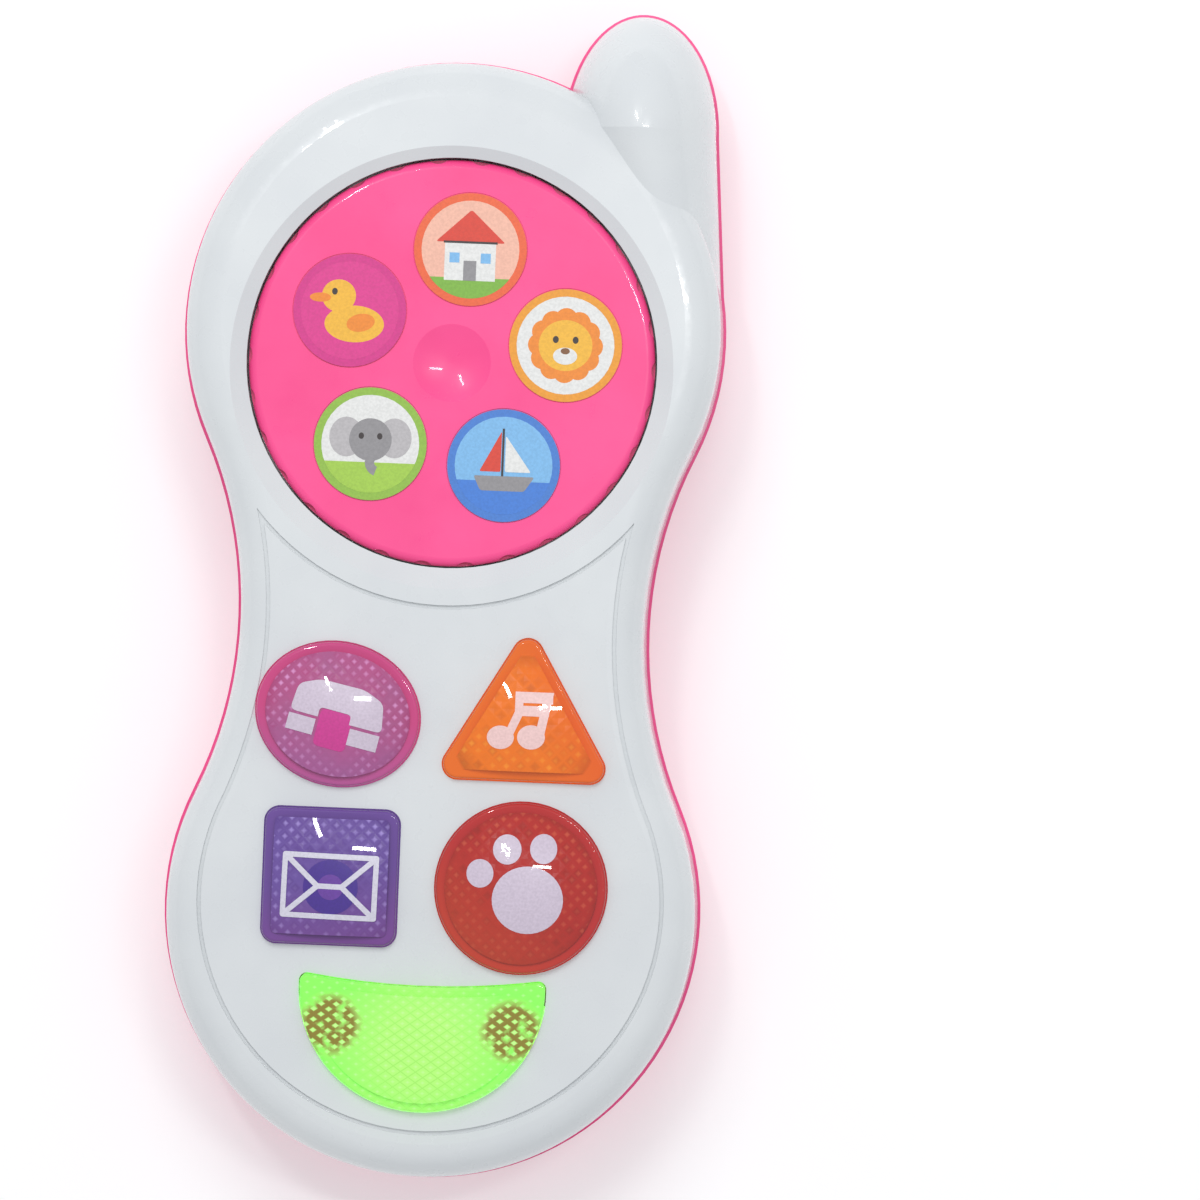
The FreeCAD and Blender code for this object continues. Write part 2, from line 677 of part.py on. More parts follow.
def click_wheel():
    wheel = ring(0, DIAL_Y, CLICK_R, STEM_END_R, CLICK_Z0, CLICK_Z1)
    for i in range(CLICK_NOTCHES):
        angle = 2 * math.pi * i / CLICK_NOTCHES
        x = CLICK_R * math.cos(angle)
        y = DIAL_Y + CLICK_R * math.sin(angle)
        wheel = wheel.cut(disc(x, y, CLICK_NOTCH_R, CLICK_Z0 - 1, CLICK_Z1 + 1))
    return wheel


def click_leaf():
    """Springy strip with a nub that rests in a notch of the click wheel."""
    z1 = LEAF_Z1 - 0.4
    nub_x = CLICK_R + 0.3
    back_y = DIAL_Y - LEAF_BACK
    strip = box(LEAF_X, LEAF_X + LEAF_THICK, back_y, DIAL_Y + LEAF_FRONT, LEAF_Z0, z1)
    nub = disc(nub_x, DIAL_Y, LEAF_NUB_R, LEAF_Z0, z1)
    neck = box(nub_x, LEAF_X + EMBED, DIAL_Y - LEAF_NUB_R, DIAL_Y + LEAF_NUB_R, LEAF_Z0, z1)
    x, y = LEAF_SCREW_AT
    foot = box(LEAF_X, LEAF_X + LEAF_FOOT_X, y - LEAF_FOOT_HALF_Y, back_y + EMBED, LEAF_Z0, LEAF_Z1)
    return fused([strip, nub, neck, foot]).cut(disc(x, y, 1.1, LEAF_Z0 - 1, LEAF_Z1 + 1))


def screw_up(x, y, head_r, shank_r, face_z, length, head_h=1.4):
    """Screw driven upwards; face_z is where its head bears."""
    head = cone(x, y, head_r - 0.4, head_r, face_z - head_h, face_z)
    shank = disc(x, y, shank_r, face_z - EMBED, face_z + length)
    return with_cross(head.fuse(shank), x, y, face_z - head_h, 1)


# ---------------------------------------------------------------- buttons and lens


def button(name):
    plan, at, ball_r, rise = BUTTONS[name]
    cap, rim_z = domed_cap(plan, at, ball_r, rise, RIM_WIDTH, FLANGE_Z0)
    flange = plan(-FLANGE_OUT, FLANGE_Z0, FLANGE_Z1).cut(plan(CAP_WALL, FLANGE_Z0 - 1, FLANGE_Z1 + 1))
    x, y = at
    post = box(x - POST_HALF, x + POST_HALF, y - POST_HALF, y + POST_HALF, POST_Z0,
               rim_z - CAP_WALL + EMBED)
    post = post.makeFillet(0.8, upright_edges(post, rim_z - CAP_WALL + EMBED - POST_Z0))
    return fused([cap, flange, post])


def smile_lens():
    lens, rim_z = domed_cap(smile_prism, (SMILE_AT[0], SMILE_AT[1] - 7.0), 48.0, 1.9,
                            RIM_WIDTH, LENS_FLANGE_Z0)
    x, y = SMILE_AT
    flange = ring(x, y, SMILE_R + 1.3, SMILE_R - 1.0, LENS_FLANGE_Z0, LENS_FLANGE_Z0 + 0.8)
    flange = flange.common(box(-BIG, BIG, -BIG, y - 2.0, 0, BIG))
    return fused([lens, flange])


def rubber_dome(x, y):
    top_z = POST_Z0 - DOME_GAP
    dome = cone(x, y, DOME_BASE_R, DOME_TOP_R, BOARD_Z1, top_z)
    return dome.cut(cone(x, y, DOME_BASE_R - 1.0, DOME_TOP_R - 1.0, BOARD_Z1 - 0.01, top_z - 1.2))


def keypad_sheet():
    sheet = box(-24.0, 24.0, -53.0, -8.0, BOARD_Z1, BOARD_Z1 + KEYPAD_THICK)
    sheet = sheet.common(prism(BOARD_INSET + 1.0, 0, BIG))
    for _, (x, y), *_ in BUTTONS.values():
        sheet = sheet.cut(disc(x, y, DOME_BASE_R + 0.1, 0, BIG))
    for x, y in BOARD_SCREWS:
        sheet = sheet.cut(disc(x, y, 2.6, 0, BIG))
    for x, y in CASE_SCREWS:
        sheet = sheet.cut(disc(x, y, BOSS_R + 1.0, 0, BIG))
    return sheet.cut(disc(*TRIANGLE_LAMP, LAMP_R + 0.4, 0, BIG))


# ---------------------------------------------------------------- electronics


def circuit_board():
    board = prism(BOARD_INSET, BOARD_Z0, BOARD_Z1)
    board = board.common(box(-BIG, BIG, -BIG, 0.0, 0, BIG))
    for x, y in CASE_SCREWS:
        board = board.cut(disc(x, y, BOSS_R + 1.0, 0, BIG))
    for x, y in BOARD_SCREWS:
        board = board.cut(disc(x, y, 1.1, 0, BIG))
    return board


def board_screws():
    return Part.makeCompound([screw_up(x, y, 2.0, 0.95, BOARD_Z0, 5.5, 1.2) for x, y in BOARD_SCREWS])


def chip_blob():
    x, y = 15.0, -7.5
    blob = cone(x, y, 3.4, 4.4, BOARD_Z0 - 1.4, BOARD_Z0)
    return blob.makeFillet(0.8, edges_below(blob, BOARD_Z0 - 1.3))


def capacitor():
    x, y = -13.5, -5.5
    can = disc(x, y, 2.5, BOARD_Z0 - 6.0, BOARD_Z0)
    return can.makeFillet(0.4, edges_below(can, BOARD_Z0 - 5.9))


def lamp(x, y, height=3.0):
    body = disc(x, y, LAMP_R, BOARD_Z1, BOARD_Z1 + height - LAMP_R)
    tip = Part.makeSphere(LAMP_R, Vector(x, y, BOARD_Z1 + height - LAMP_R))
    rim = disc(x, y, LAMP_R + 0.25, BOARD_Z1, BOARD_Z1 + 0.6)
    tip = tip.common(disc(x, y, LAMP_R + 1, BOARD_Z1 + height - LAMP_R - EMBED, BIG))
    return fused([body, tip, rim])


def speaker_frame():
    y = SPEAKER_Y
    flange_z = SPEAKER_Z + SPEAKER_FLANGE
    flange = ring(0, y, SPEAKER_R, SPEAKER_OPEN_R, SPEAKER_Z, flange_z)
    outer = cone(0, y, BASKET_R, BASKET_NECK_R, flange_z - EMBED, BASKET_TOP_Z)
    inner = cone(0, y, BASKET_R - BASKET_WALL, BASKET_NECK_R - BASKET_WALL,
                 flange_z - 2 * EMBED, BASKET_TOP_Z - BASKET_WALL)
    basket = fused([flange, outer]).cut(inner)
    return basket.cut(disc(0, y, BASKET_HOLE_R, 0, BASKET_TOP_Z - BASKET_WALL / 2))


def speaker_cone():
    y = SPEAKER_Y
    rim_z = SPEAKER_Z - 0.1
    outer = cone(0, y, CONE_R, CONE_NECK_R, rim_z + CONE_THICK, CONE_Z + CONE_THICK)
    inner = cone(0, y, CONE_R, CONE_NECK_R, rim_z, CONE_Z)
    cap = disc(0, y, CONE_NECK_R + 0.4, CONE_Z - CONE_THICK, CONE_Z + EMBED)
    return outer.cut(inner).fuse(cap).removeSplitter()


def speaker_magnet():
    top_z = BASKET_TOP_Z + MAGNET_HEIGHT
    magnet = disc(0, SPEAKER_Y, MAGNET_R, BASKET_TOP_Z, top_z)
    return magnet.makeFillet(0.5, edges_above(magnet, top_z - 0.1))


def speaker_screws():
    screws = []
    for x, y in speaker_screw_places():
        top_z = SPEAKER_Z + SPEAKER_FLANGE
        head = cone(x, y, 3.2, 2.6, top_z, top_z + 1.2)
        shank = disc(x, y, 1.0, 0.9, top_z + EMBED)
        screws.append(with_cross(head.fuse(shank), x, y, top_z + 1.2, -1))
    return Part.makeCompound(screws)


# ---------------------------------------------------------------- battery box parts


def battery_cell(side):
    """AA cell; side +1 has its nub towards the antenna."""
    x = side * CELL_X
    body = rod_y(x, CELL_Z, CELL_R, CELL_Y0, CELL_Y1)
    if side > 0:
        nub = rod_y(x, CELL_Z, CELL_NUB_R, CELL_Y1 - EMBED, CELL_Y1 + CELL_NUB_H)
    else:
        nub = rod_y(x, CELL_Z, CELL_NUB_R, CELL_Y0 - CELL_NUB_H, CELL_Y0 + EMBED)
    return body.fuse(nub).removeSplitter()


def bump(x, y0, y1, towards):
    """Raised contact between a plate at y0 and a cell's nub at y1."""
    return Part.makeCone(4.0, 2.4, abs(y1 - y0), Vector(x, y0, CELL_Z), Vector(0, towards, 0))


def battery_bridge():
    """Plate that joins the two cells at the foot end."""
    y1 = BOX_Y0 + PLATE_GAP + PLATE_THICK
    plate = box(-13.5, 13.5, BOX_Y0 + PLATE_GAP, y1, 4.5, 15.0)
    return plate.fuse(bump(-CELL_X, y1 - EMBED, CELL_Y0 - CELL_NUB_H, 1)).removeSplitter()


def end_contact(side):
    """Plate at the antenna end, with a solder tab through the box's wall."""
    x = side * CELL_X
    y0 = BOX_Y1 - PLATE_GAP - PLATE_THICK
    plate = box(x - 5.0, x + 5.0, y0, y0 + PLATE_THICK, 4.5, 15.0)
    tab = box(x - 1.5, x + 1.5, y0, TAB_END_Y, TAB_Z - PLATE_THICK, TAB_Z + PLATE_THICK)
    parts = [plate, tab]
    if side > 0:
        parts.append(bump(x, y0 + EMBED, CELL_Y1 + CELL_NUB_H, -1))
    return fused(parts)


def battery_spring(side):
    """Tapered coil between a plate and a cell's flat end."""
    length = 2.6
    path = Part.makeHelix(length / 3, length, 4.4, -25.0).Edges[0]
    start = path.valueAt(path.FirstParameter)
    heading = path.tangentAt(path.FirstParameter)
    section = Part.Wire(Part.makeCircle(SPRING_WIRE_R, start, heading))
    coil = Part.Wire([path]).makePipeShell([section], True, True)
    coil.rotate(Vector(0, 0, 0), Vector(1, 0, 0), -90 * side)
    plate_y = BOX_Y0 if side > 0 else BOX_Y1
    away = PLATE_GAP + PLATE_THICK + SPRING_WIRE_R + 0.05
    coil.translate(Vector(side * CELL_X, plate_y + side * away, CELL_Z))
    return coil


def battery_door():
    plate = box(-DOOR_HALF_X, DOOR_HALF_X, DOOR_Y0, DOOR_Y1, DOOR_Z0, WALL)
    plate = plate.makeFillet(1.5, upright_edges(plate, WALL - DOOR_Z0))
    parts = [plate]
    for x in TAB_AT:
        tab = box(x - TAB_HALF, x + TAB_HALF, DOOR_Y0 - TAB_REACH, DOOR_Y0 + 3.0, WALL + 0.1, WALL + 1.2)
        neck = box(x - TAB_HALF, x + TAB_HALF, DOOR_Y0 + 0.5, DOOR_Y0 + 3.0, WALL - EMBED, WALL + 0.5)
        parts.append(tab.fuse(neck))
    door = fused(parts)
    for i in range(5):
        y = -60.0 + 2.2 * i
        door = door.cut(box(-7.0, 7.0, y, y + 1.0, -1, DOOR_Z0 + 0.4))
    door = door.cut(disc(0, DOOR_SCREW_Y, 2.7, -1, DOOR_Z0 + 0.9))
    return door.cut(disc(0, DOOR_SCREW_Y, 1.35, -1, BIG))


def battery_door_screw():
    return screw_up(0, DOOR_SCREW_Y, 2.4, 1.25, DOOR_Z0 + 0.9, 6.0, 0.8)


# ---------------------------------------------------------------- power switch


def switch_housing():
    y = SWITCH_Y
    half_x, half_y, roof_z = SWITCH_WINDOW
    body = box(-SWITCH_HALF_X, SWITCH_HALF_X, y - SWITCH_HALF_Y, y + SWITCH_HALF_Y,
               SWITCH_Z, SWITCH_TOP_Z)
    ears = box(-SWITCH_EAR_HALF_X, SWITCH_EAR_HALF_X, y - SWITCH_EAR_HALF_Y,
               y + SWITCH_EAR_HALF_Y, SWITCH_Z, SWITCH_Z + SWITCH_EAR_THICK)
    housing = body.fuse(ears)
    housing = housing.cut(box(-half_x, half_x, y - half_y, y + half_y, SWITCH_Z - 1, roof_z))
    for x, screw_y in SWITCH_SCREWS:
        housing = housing.cut(disc(x, screw_y, 1.1, 0, SWITCH_Z + SWITCH_EAR_THICK + 1))
    return housing.removeSplitter()


def switch_knob():
    y = SWITCH_Y
    left = -SWITCH_SLOT_X + 0.3
    right = left + KNOB_LENGTH
    thumb = box(left, right, y - KNOB_HALF_Y, y + KNOB_HALF_Y, KNOB_Z, WALL + 0.5)
    for i in range(3):
        x = left + 0.8 + i
        thumb = thumb.cut(box(x, x + 0.4, y - 2, y + 2, 0, KNOB_Z + 0.3))
    base = box(left - KNOB_BASE_OUT, right + KNOB_BASE_OUT, y - KNOB_BASE_HALF_Y,
               y + KNOB_BASE_HALF_Y, WALL + 0.3, WALL + 1.3)
    pin = box(left + 1.0, right - 1.0, y - 1.0, y + 1.0, WALL + 1.0, KNOB_PIN_TOP)
    return fused([thumb, base, pin])


def switch_screws():
    screws = []
    bearing_z = SWITCH_Z + SWITCH_EAR_THICK
    top_z = bearing_z + 1.1
    for x, y in SWITCH_SCREWS:
        head = cone(x, y, 1.9, 1.5, bearing_z, top_z)
        shank = disc(x, y, 0.9, WALL + 0.7, bearing_z + EMBED)
        screws.append(with_cross(head.fuse(shank), x, y, top_z, -1))
    return Part.makeCompound(screws)


# ---------------------------------------------------------------- wires


def wire(points):
    """Held wire along straight runs joined by tangent arcs."""
    points = [Vector(*point) for point in points]
    edges = []
    start = points[0]
    for before, corner, after in zip(points, points[1:], points[2:]):
        into = (corner - before).normalize()
        out = (after - corner).normalize()
        reach = WIRE_BEND * min((corner - before).Length, (after - corner).Length)
        arc_start = corner - into * reach
        arc_end = corner + out * reach
        turn = into.getAngle(out)
        bend_r = reach / math.tan(turn / 2)
        inward = (out - into).normalize()
        centre = corner + inward * (bend_r / math.cos(turn / 2))
        middle = centre - inward * bend_r
        edges.append(Part.makeLine(start, arc_start))
        edges.append(Part.Arc(arc_start, middle, arc_end).toShape())
        start = arc_end
    edges.append(Part.makeLine(start, points[-1]))
    path = Part.Wire(edges)
    section = Part.Wire(Part.makeCircle(WIRE_R, points[0], points[1] - points[0]))
    return path.makePipeShell([section], True, True)


WIRES = {
    "battery_wire_red": ((CELL_X, TAB_END_Y, TAB_Z), (CELL_X, -4.0, TAB_Z), (CELL_X, -4.0, BOARD_Z0)),
    "battery_wire_black": ((-CELL_X, TAB_END_Y, TAB_Z), (-CELL_X, -4.0, TAB_Z), (-CELL_X, -4.0, BOARD_Z0)),
    "speaker_wire_1": ((3.0, 27.0, 9.6), (3.0, 20.0, 12.5), (4.5, 5.0, 13.5), (5.0, -3.0, 15.0),
                       (5.0, -3.0, BOARD_Z0)),
    "speaker_wire_2": ((-3.0, 27.0, 9.6), (-3.0, 20.0, 12.5), (-4.5, 5.0, 13.5), (-5.0, -3.0, 15.0),
                       (-5.0, -3.0, BOARD_Z0)),
    "switch_wire_1": ((2.0, 7.5, 10.0), (2.0, 7.5, 13.0), (2.2, -1.5, 16.0), (2.2, -1.5, BOARD_Z0)),
    "switch_wire_2": ((-2.0, 7.5, 10.0), (-2.0, 7.5, 13.0), (-2.2, -1.5, 16.0), (-2.2, -1.5, BOARD_Z0)),
}


# ---------------------------------------------------------------- the whole toy


def build():
    nodes = {
        "front_shell": front_shell(),
        "rear_shell": rear_shell(),
        "case_screws": case_screws(),
        "spin_dial": spin_dial(),
        "click_wheel": click_wheel(),
        "click_leaf": click_leaf(),
        "click_leaf_screw": screw_up(*LEAF_SCREW_AT, 2.2, 0.95, LEAF_Z0, 4.0),
        "dial_screw": screw_up(0, DIAL_Y, 4.0, SCREW_R - 0.05, CLICK_Z0, 5.5, 1.6),
        "smile_lens": smile_lens(),
        "keypad_sheet": keypad_sheet(),
        "circuit_board": circuit_board(),
        "board_screws": board_screws(),
        "chip_blob": chip_blob(),
        "capacitor": capacitor(),
        "triangle_led": lamp(*TRIANGLE_LAMP),
        "speaker_frame": speaker_frame(),
        "speaker_cone": speaker_cone(),
        "speaker_magnet": speaker_magnet(),
        "speaker_screws": speaker_screws(),
        "battery_cell_1": battery_cell(1),
        "battery_cell_2": battery_cell(-1),
        "battery_bridge": battery_bridge(),
        "positive_contact": end_contact(1),
        "negative_contact": end_contact(-1),
        "battery_spring_1": battery_spring(1),
        "battery_spring_2": battery_spring(-1),
        "battery_door": battery_door(),
        "battery_door_screw": battery_door_screw(),
        "switch_housing": switch_housing(),
        "switch_knob": switch_knob(),
        "switch_screws": switch_screws(),
    }
    for number, place in enumerate(sticker_places(), start=1):
        nodes[f"picture_sticker_{number}"] = picture_sticker(*place)
    for number, place in enumerate(SMILE_LAMPS, start=1):
        nodes[f"smile_led_{number}"] = lamp(*place)
    for name, (_, at, *_) in BUTTONS.items():
        nodes[f"{name}_button"] = button(name)
        nodes[f"{name}_dome"] = rubber_dome(*at)
    for name, route in WIRES.items():
        nodes[name] = wire(route)
    return nodes


os.makedirs("parts", exist_ok=True)
for name, shape in build().items():
    if not shape.isValid():
        print("not valid:", name)
    print(name, len(shape.Solids), round(shape.Volume, 1))
    shape.exportStep(os.path.join("parts", name + ".step"))
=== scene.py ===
import json
import math

import bpy
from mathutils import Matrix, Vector
from mathutils.bvhtree import BVHTree
from mathutils.geometry import delaunay_2d_cdt


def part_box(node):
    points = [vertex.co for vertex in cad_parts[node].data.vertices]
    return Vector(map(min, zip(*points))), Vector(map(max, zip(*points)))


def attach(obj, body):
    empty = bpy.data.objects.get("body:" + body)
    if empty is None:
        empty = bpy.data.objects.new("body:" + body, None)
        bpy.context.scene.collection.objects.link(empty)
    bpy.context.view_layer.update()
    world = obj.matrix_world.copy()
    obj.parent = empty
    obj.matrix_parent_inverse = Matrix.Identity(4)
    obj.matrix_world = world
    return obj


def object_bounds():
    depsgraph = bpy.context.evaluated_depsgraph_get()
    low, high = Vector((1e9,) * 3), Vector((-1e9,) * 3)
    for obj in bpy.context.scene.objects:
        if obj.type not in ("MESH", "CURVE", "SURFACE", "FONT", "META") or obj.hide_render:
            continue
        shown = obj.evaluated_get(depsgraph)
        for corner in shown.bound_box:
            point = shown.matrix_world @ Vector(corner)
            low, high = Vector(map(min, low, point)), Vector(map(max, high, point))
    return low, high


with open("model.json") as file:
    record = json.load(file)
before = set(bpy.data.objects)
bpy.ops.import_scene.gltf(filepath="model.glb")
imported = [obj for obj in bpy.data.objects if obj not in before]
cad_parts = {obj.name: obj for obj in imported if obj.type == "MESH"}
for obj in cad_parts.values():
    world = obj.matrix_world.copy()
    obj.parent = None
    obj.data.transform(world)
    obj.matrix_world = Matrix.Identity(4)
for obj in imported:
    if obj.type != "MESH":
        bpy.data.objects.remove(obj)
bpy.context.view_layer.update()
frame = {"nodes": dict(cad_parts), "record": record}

MM = 0.001

# Colours are linear. Shapes are in millimetres about the middle of the piece they lie on.

SHELL_WHITE = (0.675, 0.70, 0.71)
SHELL_SHADE = (0.645, 0.67, 0.685)
DIAL_PINK = (0.95, 0.075, 0.285)
DIAL_PINK_DEEP = (0.90, 0.06, 0.255)
BOARD_BROWN = (0.25, 0.12, 0.045)
BOARD_TRACK = (0.42, 0.25, 0.09)
FLOOR_WHITE = (0.70, 0.70, 0.705)
WORLD_WHITE = (0.95, 0.97, 1.0)

# Icons, and the posts that show through behind two of them.
ICON_LILAC = (0.62, 0.53, 0.64)
ICON_PALE_LILAC = (0.66, 0.64, 0.74)
ICON_ROSE = (0.86, 0.58, 0.56)
POST_PINK = (0.60, 0.028, 0.27)
POST_VIOLET = (0.05, 0.012, 0.26)
CORE_VIOLET = (0.13, 0.035, 0.33)

# The lit lens, and the lamp holder's mesh that shows through it.
LENS_MIDDLE = (0.36, 0.80, 0.15)
LENS_EDGE = (0.21, 0.86, 0.09)
LENS_RIDGE = (0.22, 0.52, 0.07)
LENS_GLINT = (0.50, 0.92, 0.34)
MESH_HAZE = (0.58, 0.80, 0.28)
MESH_BROWN = (0.20, 0.16, 0.02)
LENS_GLOW = 0.35
LENS_GAP_GLOW = 1.6
LENS_PRISMS = (2.1, 1.5)        # width and height of the lens's diamond prisms
MESH_AT = (0.69, 3.1)           # share of the lens's half width, and rise over its middle
MESH_R = (4.9, 3.3)             # the mesh fades in between these distances from its middle

# Each cap has its material's slot, the rise of its dome over its rim, and the colours of its rim,
# of its field of prisms, of their painted glints, and of the deeper prisms and the painted shadow
# line round the field's foot. Its tint drifts to the cast colour along a heading in degrees, which
# is painted shading. Reach is the field's radius, pitch the prisms' size, and glow the light that
# the cap gives off.
BUTTONS = {
    "oval": {
        "slot": "clear_pink", "rise": 2.5,
        "rim": (0.56, 0.055, 0.205), "field": (0.37, 0.095, 0.24),
        "spark": (0.80, 0.38, 0.72), "deep_and_shadow": (0.34, 0.028, 0.14),
        "shading_colour": (0.34, 0.105, 0.33), "heading": -95.0,
        "reach": 12.0, "pitch": 1.7, "glow": 0.0,
    },
    "triangle": {
        "slot": "clear_orange", "rise": 1.9,
        "rim": (0.70, 0.13, 0.008), "field": (0.76, 0.16, 0.006),
        "spark": (0.92, 0.34, 0.03), "deep_and_shadow": (0.45, 0.09, 0.005),
        "shading_colour": (0.66, 0.055, 0.008), "heading": 20.0,
        "reach": 14.0, "pitch": 2.0, "glow": 0.12,
    },
    "square": {
        "slot": "clear_violet", "rise": 2.1,
        "rim": (0.135, 0.062, 0.29), "field": (0.135, 0.075, 0.32),
        "spark": (0.40, 0.30, 0.70), "deep_and_shadow": (0.07, 0.022, 0.19),
        "shading_colour": (0.19, 0.045, 0.23), "heading": -80.0,
        "reach": 12.0, "pitch": 1.8, "glow": 0.0,
    },
    "round": {
        "slot": "clear_red", "rise": 2.7,
        "rim": (0.47, 0.022, 0.022), "field": (0.43, 0.020, 0.014),
        "spark": (0.62, 0.10, 0.05), "deep_and_shadow": (0.24, 0.012, 0.008),
        "shading_colour": (0.54, 0.055, 0.016), "heading": -125.0,
        "reach": 13.0, "pitch": 1.8, "glow": 0.0,
    },
}

# Heights over a rim: an effect starts to come in at the first and is complete at the second.
FIELD_STARTS = (0.04, 0.14)
# Painted shadow: a darker line round the foot of a cap's field, between these heights.
FOOT_SHADOW_LINE = (0.75, 0.2)
GAP_WALL = (-0.9, -1.3)
# Painted light: a cap's wall down in the gap glows, lifting the shade there.
PAINTED_GAP_GLOW = 0.6                  # light that a cap's wall gives off down in the gap
LENS_RISE = 1.9                 # rise of the lens's dome over its rim

ICON_LIFT = 0.05                # the first layer of an icon lies this far over its cap
ICON_LAYER = 0.03               # and each further layer is higher by this much
ICON_THICK = 0.15
ICON_STEP = 0.6                 # an icon's triangles are no longer than about this
PRINT_LIFT = 0.02               # a dial picture's first print lies this far over its sticker
PRINT_LAYER = 0.01
PRINT_STEP = 2.0
MERGE_DISTANCE = 1e-4           # corners of an outline closer than this become one
HANDSET_TURN = -13.0            # the handset and the post behind it lie turned by this much
PICTURE_R = 6.9                 # radius of a dial picture inside its coloured border

# Lengths from here on are in metres.
RAY_START = 0.01                # rays that look for a cap's surface start this far over the cap
FLOOR_HALF = 2.0
FLOOR_GAP = 0.0002              # the floor lies just under the toy's back
FLOOR_GLOW = 0.30
WORLD_STRENGTH = 0.66

# Each lamp's place, width and length, power, turn in degrees, and whether reflections show it.
LAMPS = {
    "upright_strip": ((-0.17, 0.31, 0.90), (0.030, 0.18), 0.9, 25.0, True),
    "level_strip": ((0.21, 0.15, 0.90), (0.19, 0.028), 0.9, 0.0, True),
    "soft_key": ((-0.10, 0.60, 0.95), (0.55, 0.45), 4.6, 0.0, False),
}

# The camera looks straight down on a place a little to the right of the toy's middle.
CAMERA_OVER = (0.0222, -0.0002)
CAMERA_TURN = 0.0401            # radians
CAMERA_DISTANCE = 0.9
FACE_Z = 0.030
VIEW_WIDTH = 0.169              # what the picture takes in at the height of the toy's face
SENSOR_MM = 36.0

# Numbers of a mix node's colour sockets, which share their names with its other sockets.
MIX_FIRST = 6
MIX_SECOND = 7
MIX_RESULT = 2


# ---------------------------------------------------------------- shader helpers


def new_material(name):
    material = bpy.data.materials.new(name)
    material.use_nodes = True
    return material, material.node_tree, material.node_tree.nodes["Principled BSDF"]


def set_constants(bsdf, **values):
    """Sets plain socket values; underscores stand for the spaces in a socket's name."""
    for name, value in values.items():
        socket = bsdf.inputs[name.replace("_", " ")]
        socket.default_value = (*value, 1.0) if isinstance(value, tuple) else value


def coordinates(tree):
    return tree.nodes.new("ShaderNodeTexCoord").outputs["Object"]


def mapped(tree, vector, scale, turn=0.0, place=(0.0, 0.0, 0.0)):
    """Coordinates scaled, then turned about Z, then moved."""
    node = tree.nodes.new("ShaderNodeMapping")
    node.inputs["Scale"].default_value = scale
    node.inputs["Rotation"].default_value = (0.0, 0.0, turn)
    node.inputs["Location"].default_value = place
    tree.links.new(vector, node.inputs["Vector"])
    return node.outputs["Vector"]


def noise(tree, vector, size_mm, detail=3.0):
    node = tree.nodes.new("ShaderNodeTexNoise")
    node.inputs["Scale"].default_value = 1.0 / (size_mm * MM)
    node.inputs["Detail"].default_value = detail
    tree.links.new(vector, node.inputs["Vector"])
    return node.outputs["Fac"]


def remapped(tree, value, low, high, to_low=0.0, to_high=1.0):
    node = tree.nodes.new("ShaderNodeMapRange")
    for name, amount in (("From Min", low), ("From Max", high), ("To Min", to_low), ("To Max", to_high)):
        node.inputs[name].default_value = amount
    tree.links.new(value, node.inputs["Value"])
    return node.outputs["Result"]


def product(tree, first, *others):
    """Multiplies masks together; a plain number may stand among the others."""
    for other in others:
        node = tree.nodes.new("ShaderNodeMath")
        node.operation = "MULTIPLY"
        tree.links.new(first, node.inputs[0])
        if isinstance(other, float):
            node.inputs[1].default_value = other
        else:
            tree.links.new(other, node.inputs[1])
        first = node.outputs["Value"]
    return first


def mixed(tree, factor, first, second):
    """Mixes two colours; each is a plain colour or another node's output."""
    node = tree.nodes.new("ShaderNodeMix")
    node.data_type = "RGBA"
    tree.links.new(factor, node.inputs["Factor"])
    for socket, colour in ((node.inputs[MIX_FIRST], first), (node.inputs[MIX_SECOND], second)):
        if isinstance(colour, tuple):
            socket.default_value = (*colour, 1.0)
        else:
            tree.links.new(colour, socket)
    return node.outputs[MIX_RESULT]


def bump(tree, bsdf, height, depth_mm, strength, under=None):
    """Adds relief to a surface, on top of the relief under it if there is any."""
    node = tree.nodes.new("ShaderNodeBump")
    node.inputs["Distance"].default_value = depth_mm * MM
    node.inputs["Strength"].default_value = strength
    tree.links.new(height, node.inputs["Height"])
    if under is not None:
        tree.links.new(under, node.inputs["Normal"])
    tree.links.new(node.outputs["Normal"], bsdf.inputs["Normal"])
    return node.outputs["Normal"]


def distance_mm(tree, vector, place):
    """Distance on the plan, in millimetres, from a place given in metres."""
    flat = mapped(tree, vector, (1 / MM, 1 / MM, 0.0), place=(-place[0] / MM, -place[1] / MM, 0.0))
    node = tree.nodes.new("ShaderNodeVectorMath")
    node.operation = "LENGTH"
    tree.links.new(flat, node.inputs[0])
    return node.outputs["Value"]


def height_mm(tree, vector):
    node = tree.nodes.new("ShaderNodeSeparateXYZ")
    tree.links.new(vector, node.inputs["Vector"])
    return product(tree, node.outputs["Z"], 1 / MM)


def over_rim(tree, above, rim_z, band, start=0.0, end=1.0):
    """Goes from start to end between the two heights over a rim that a band gives."""
    return remapped(tree, above, rim_z + band[0], rim_z + band[1], start, end)


def lattice(tree, vector, wide_mm, high_mm):
    """Diamond lattice: distance from each diamond's middle, and a random number for each."""
    scale = (math.sqrt(2) / (wide_mm * MM), math.sqrt(2) / (high_mm * MM), 0.0)
    diagonal = mapped(tree, vector, scale, math.radians(45))
    node = tree.nodes.new("ShaderNodeTexVoronoi")
    node.voronoi_dimensions = "2D"
    node.distance = "CHEBYCHEV"
    node.inputs["Scale"].default_value = 1.0
    node.inputs["Randomness"].default_value = 0.0
    tree.links.new(diagonal, node.inputs["Vector"])
    parts = tree.nodes.new("ShaderNodeSeparateColor")
    tree.links.new(node.outputs["Color"], parts.inputs["Color"])
    return node.outputs["Distance"], parts.outputs["Red"]


# ---------------------------------------------------------------- materials of the casing


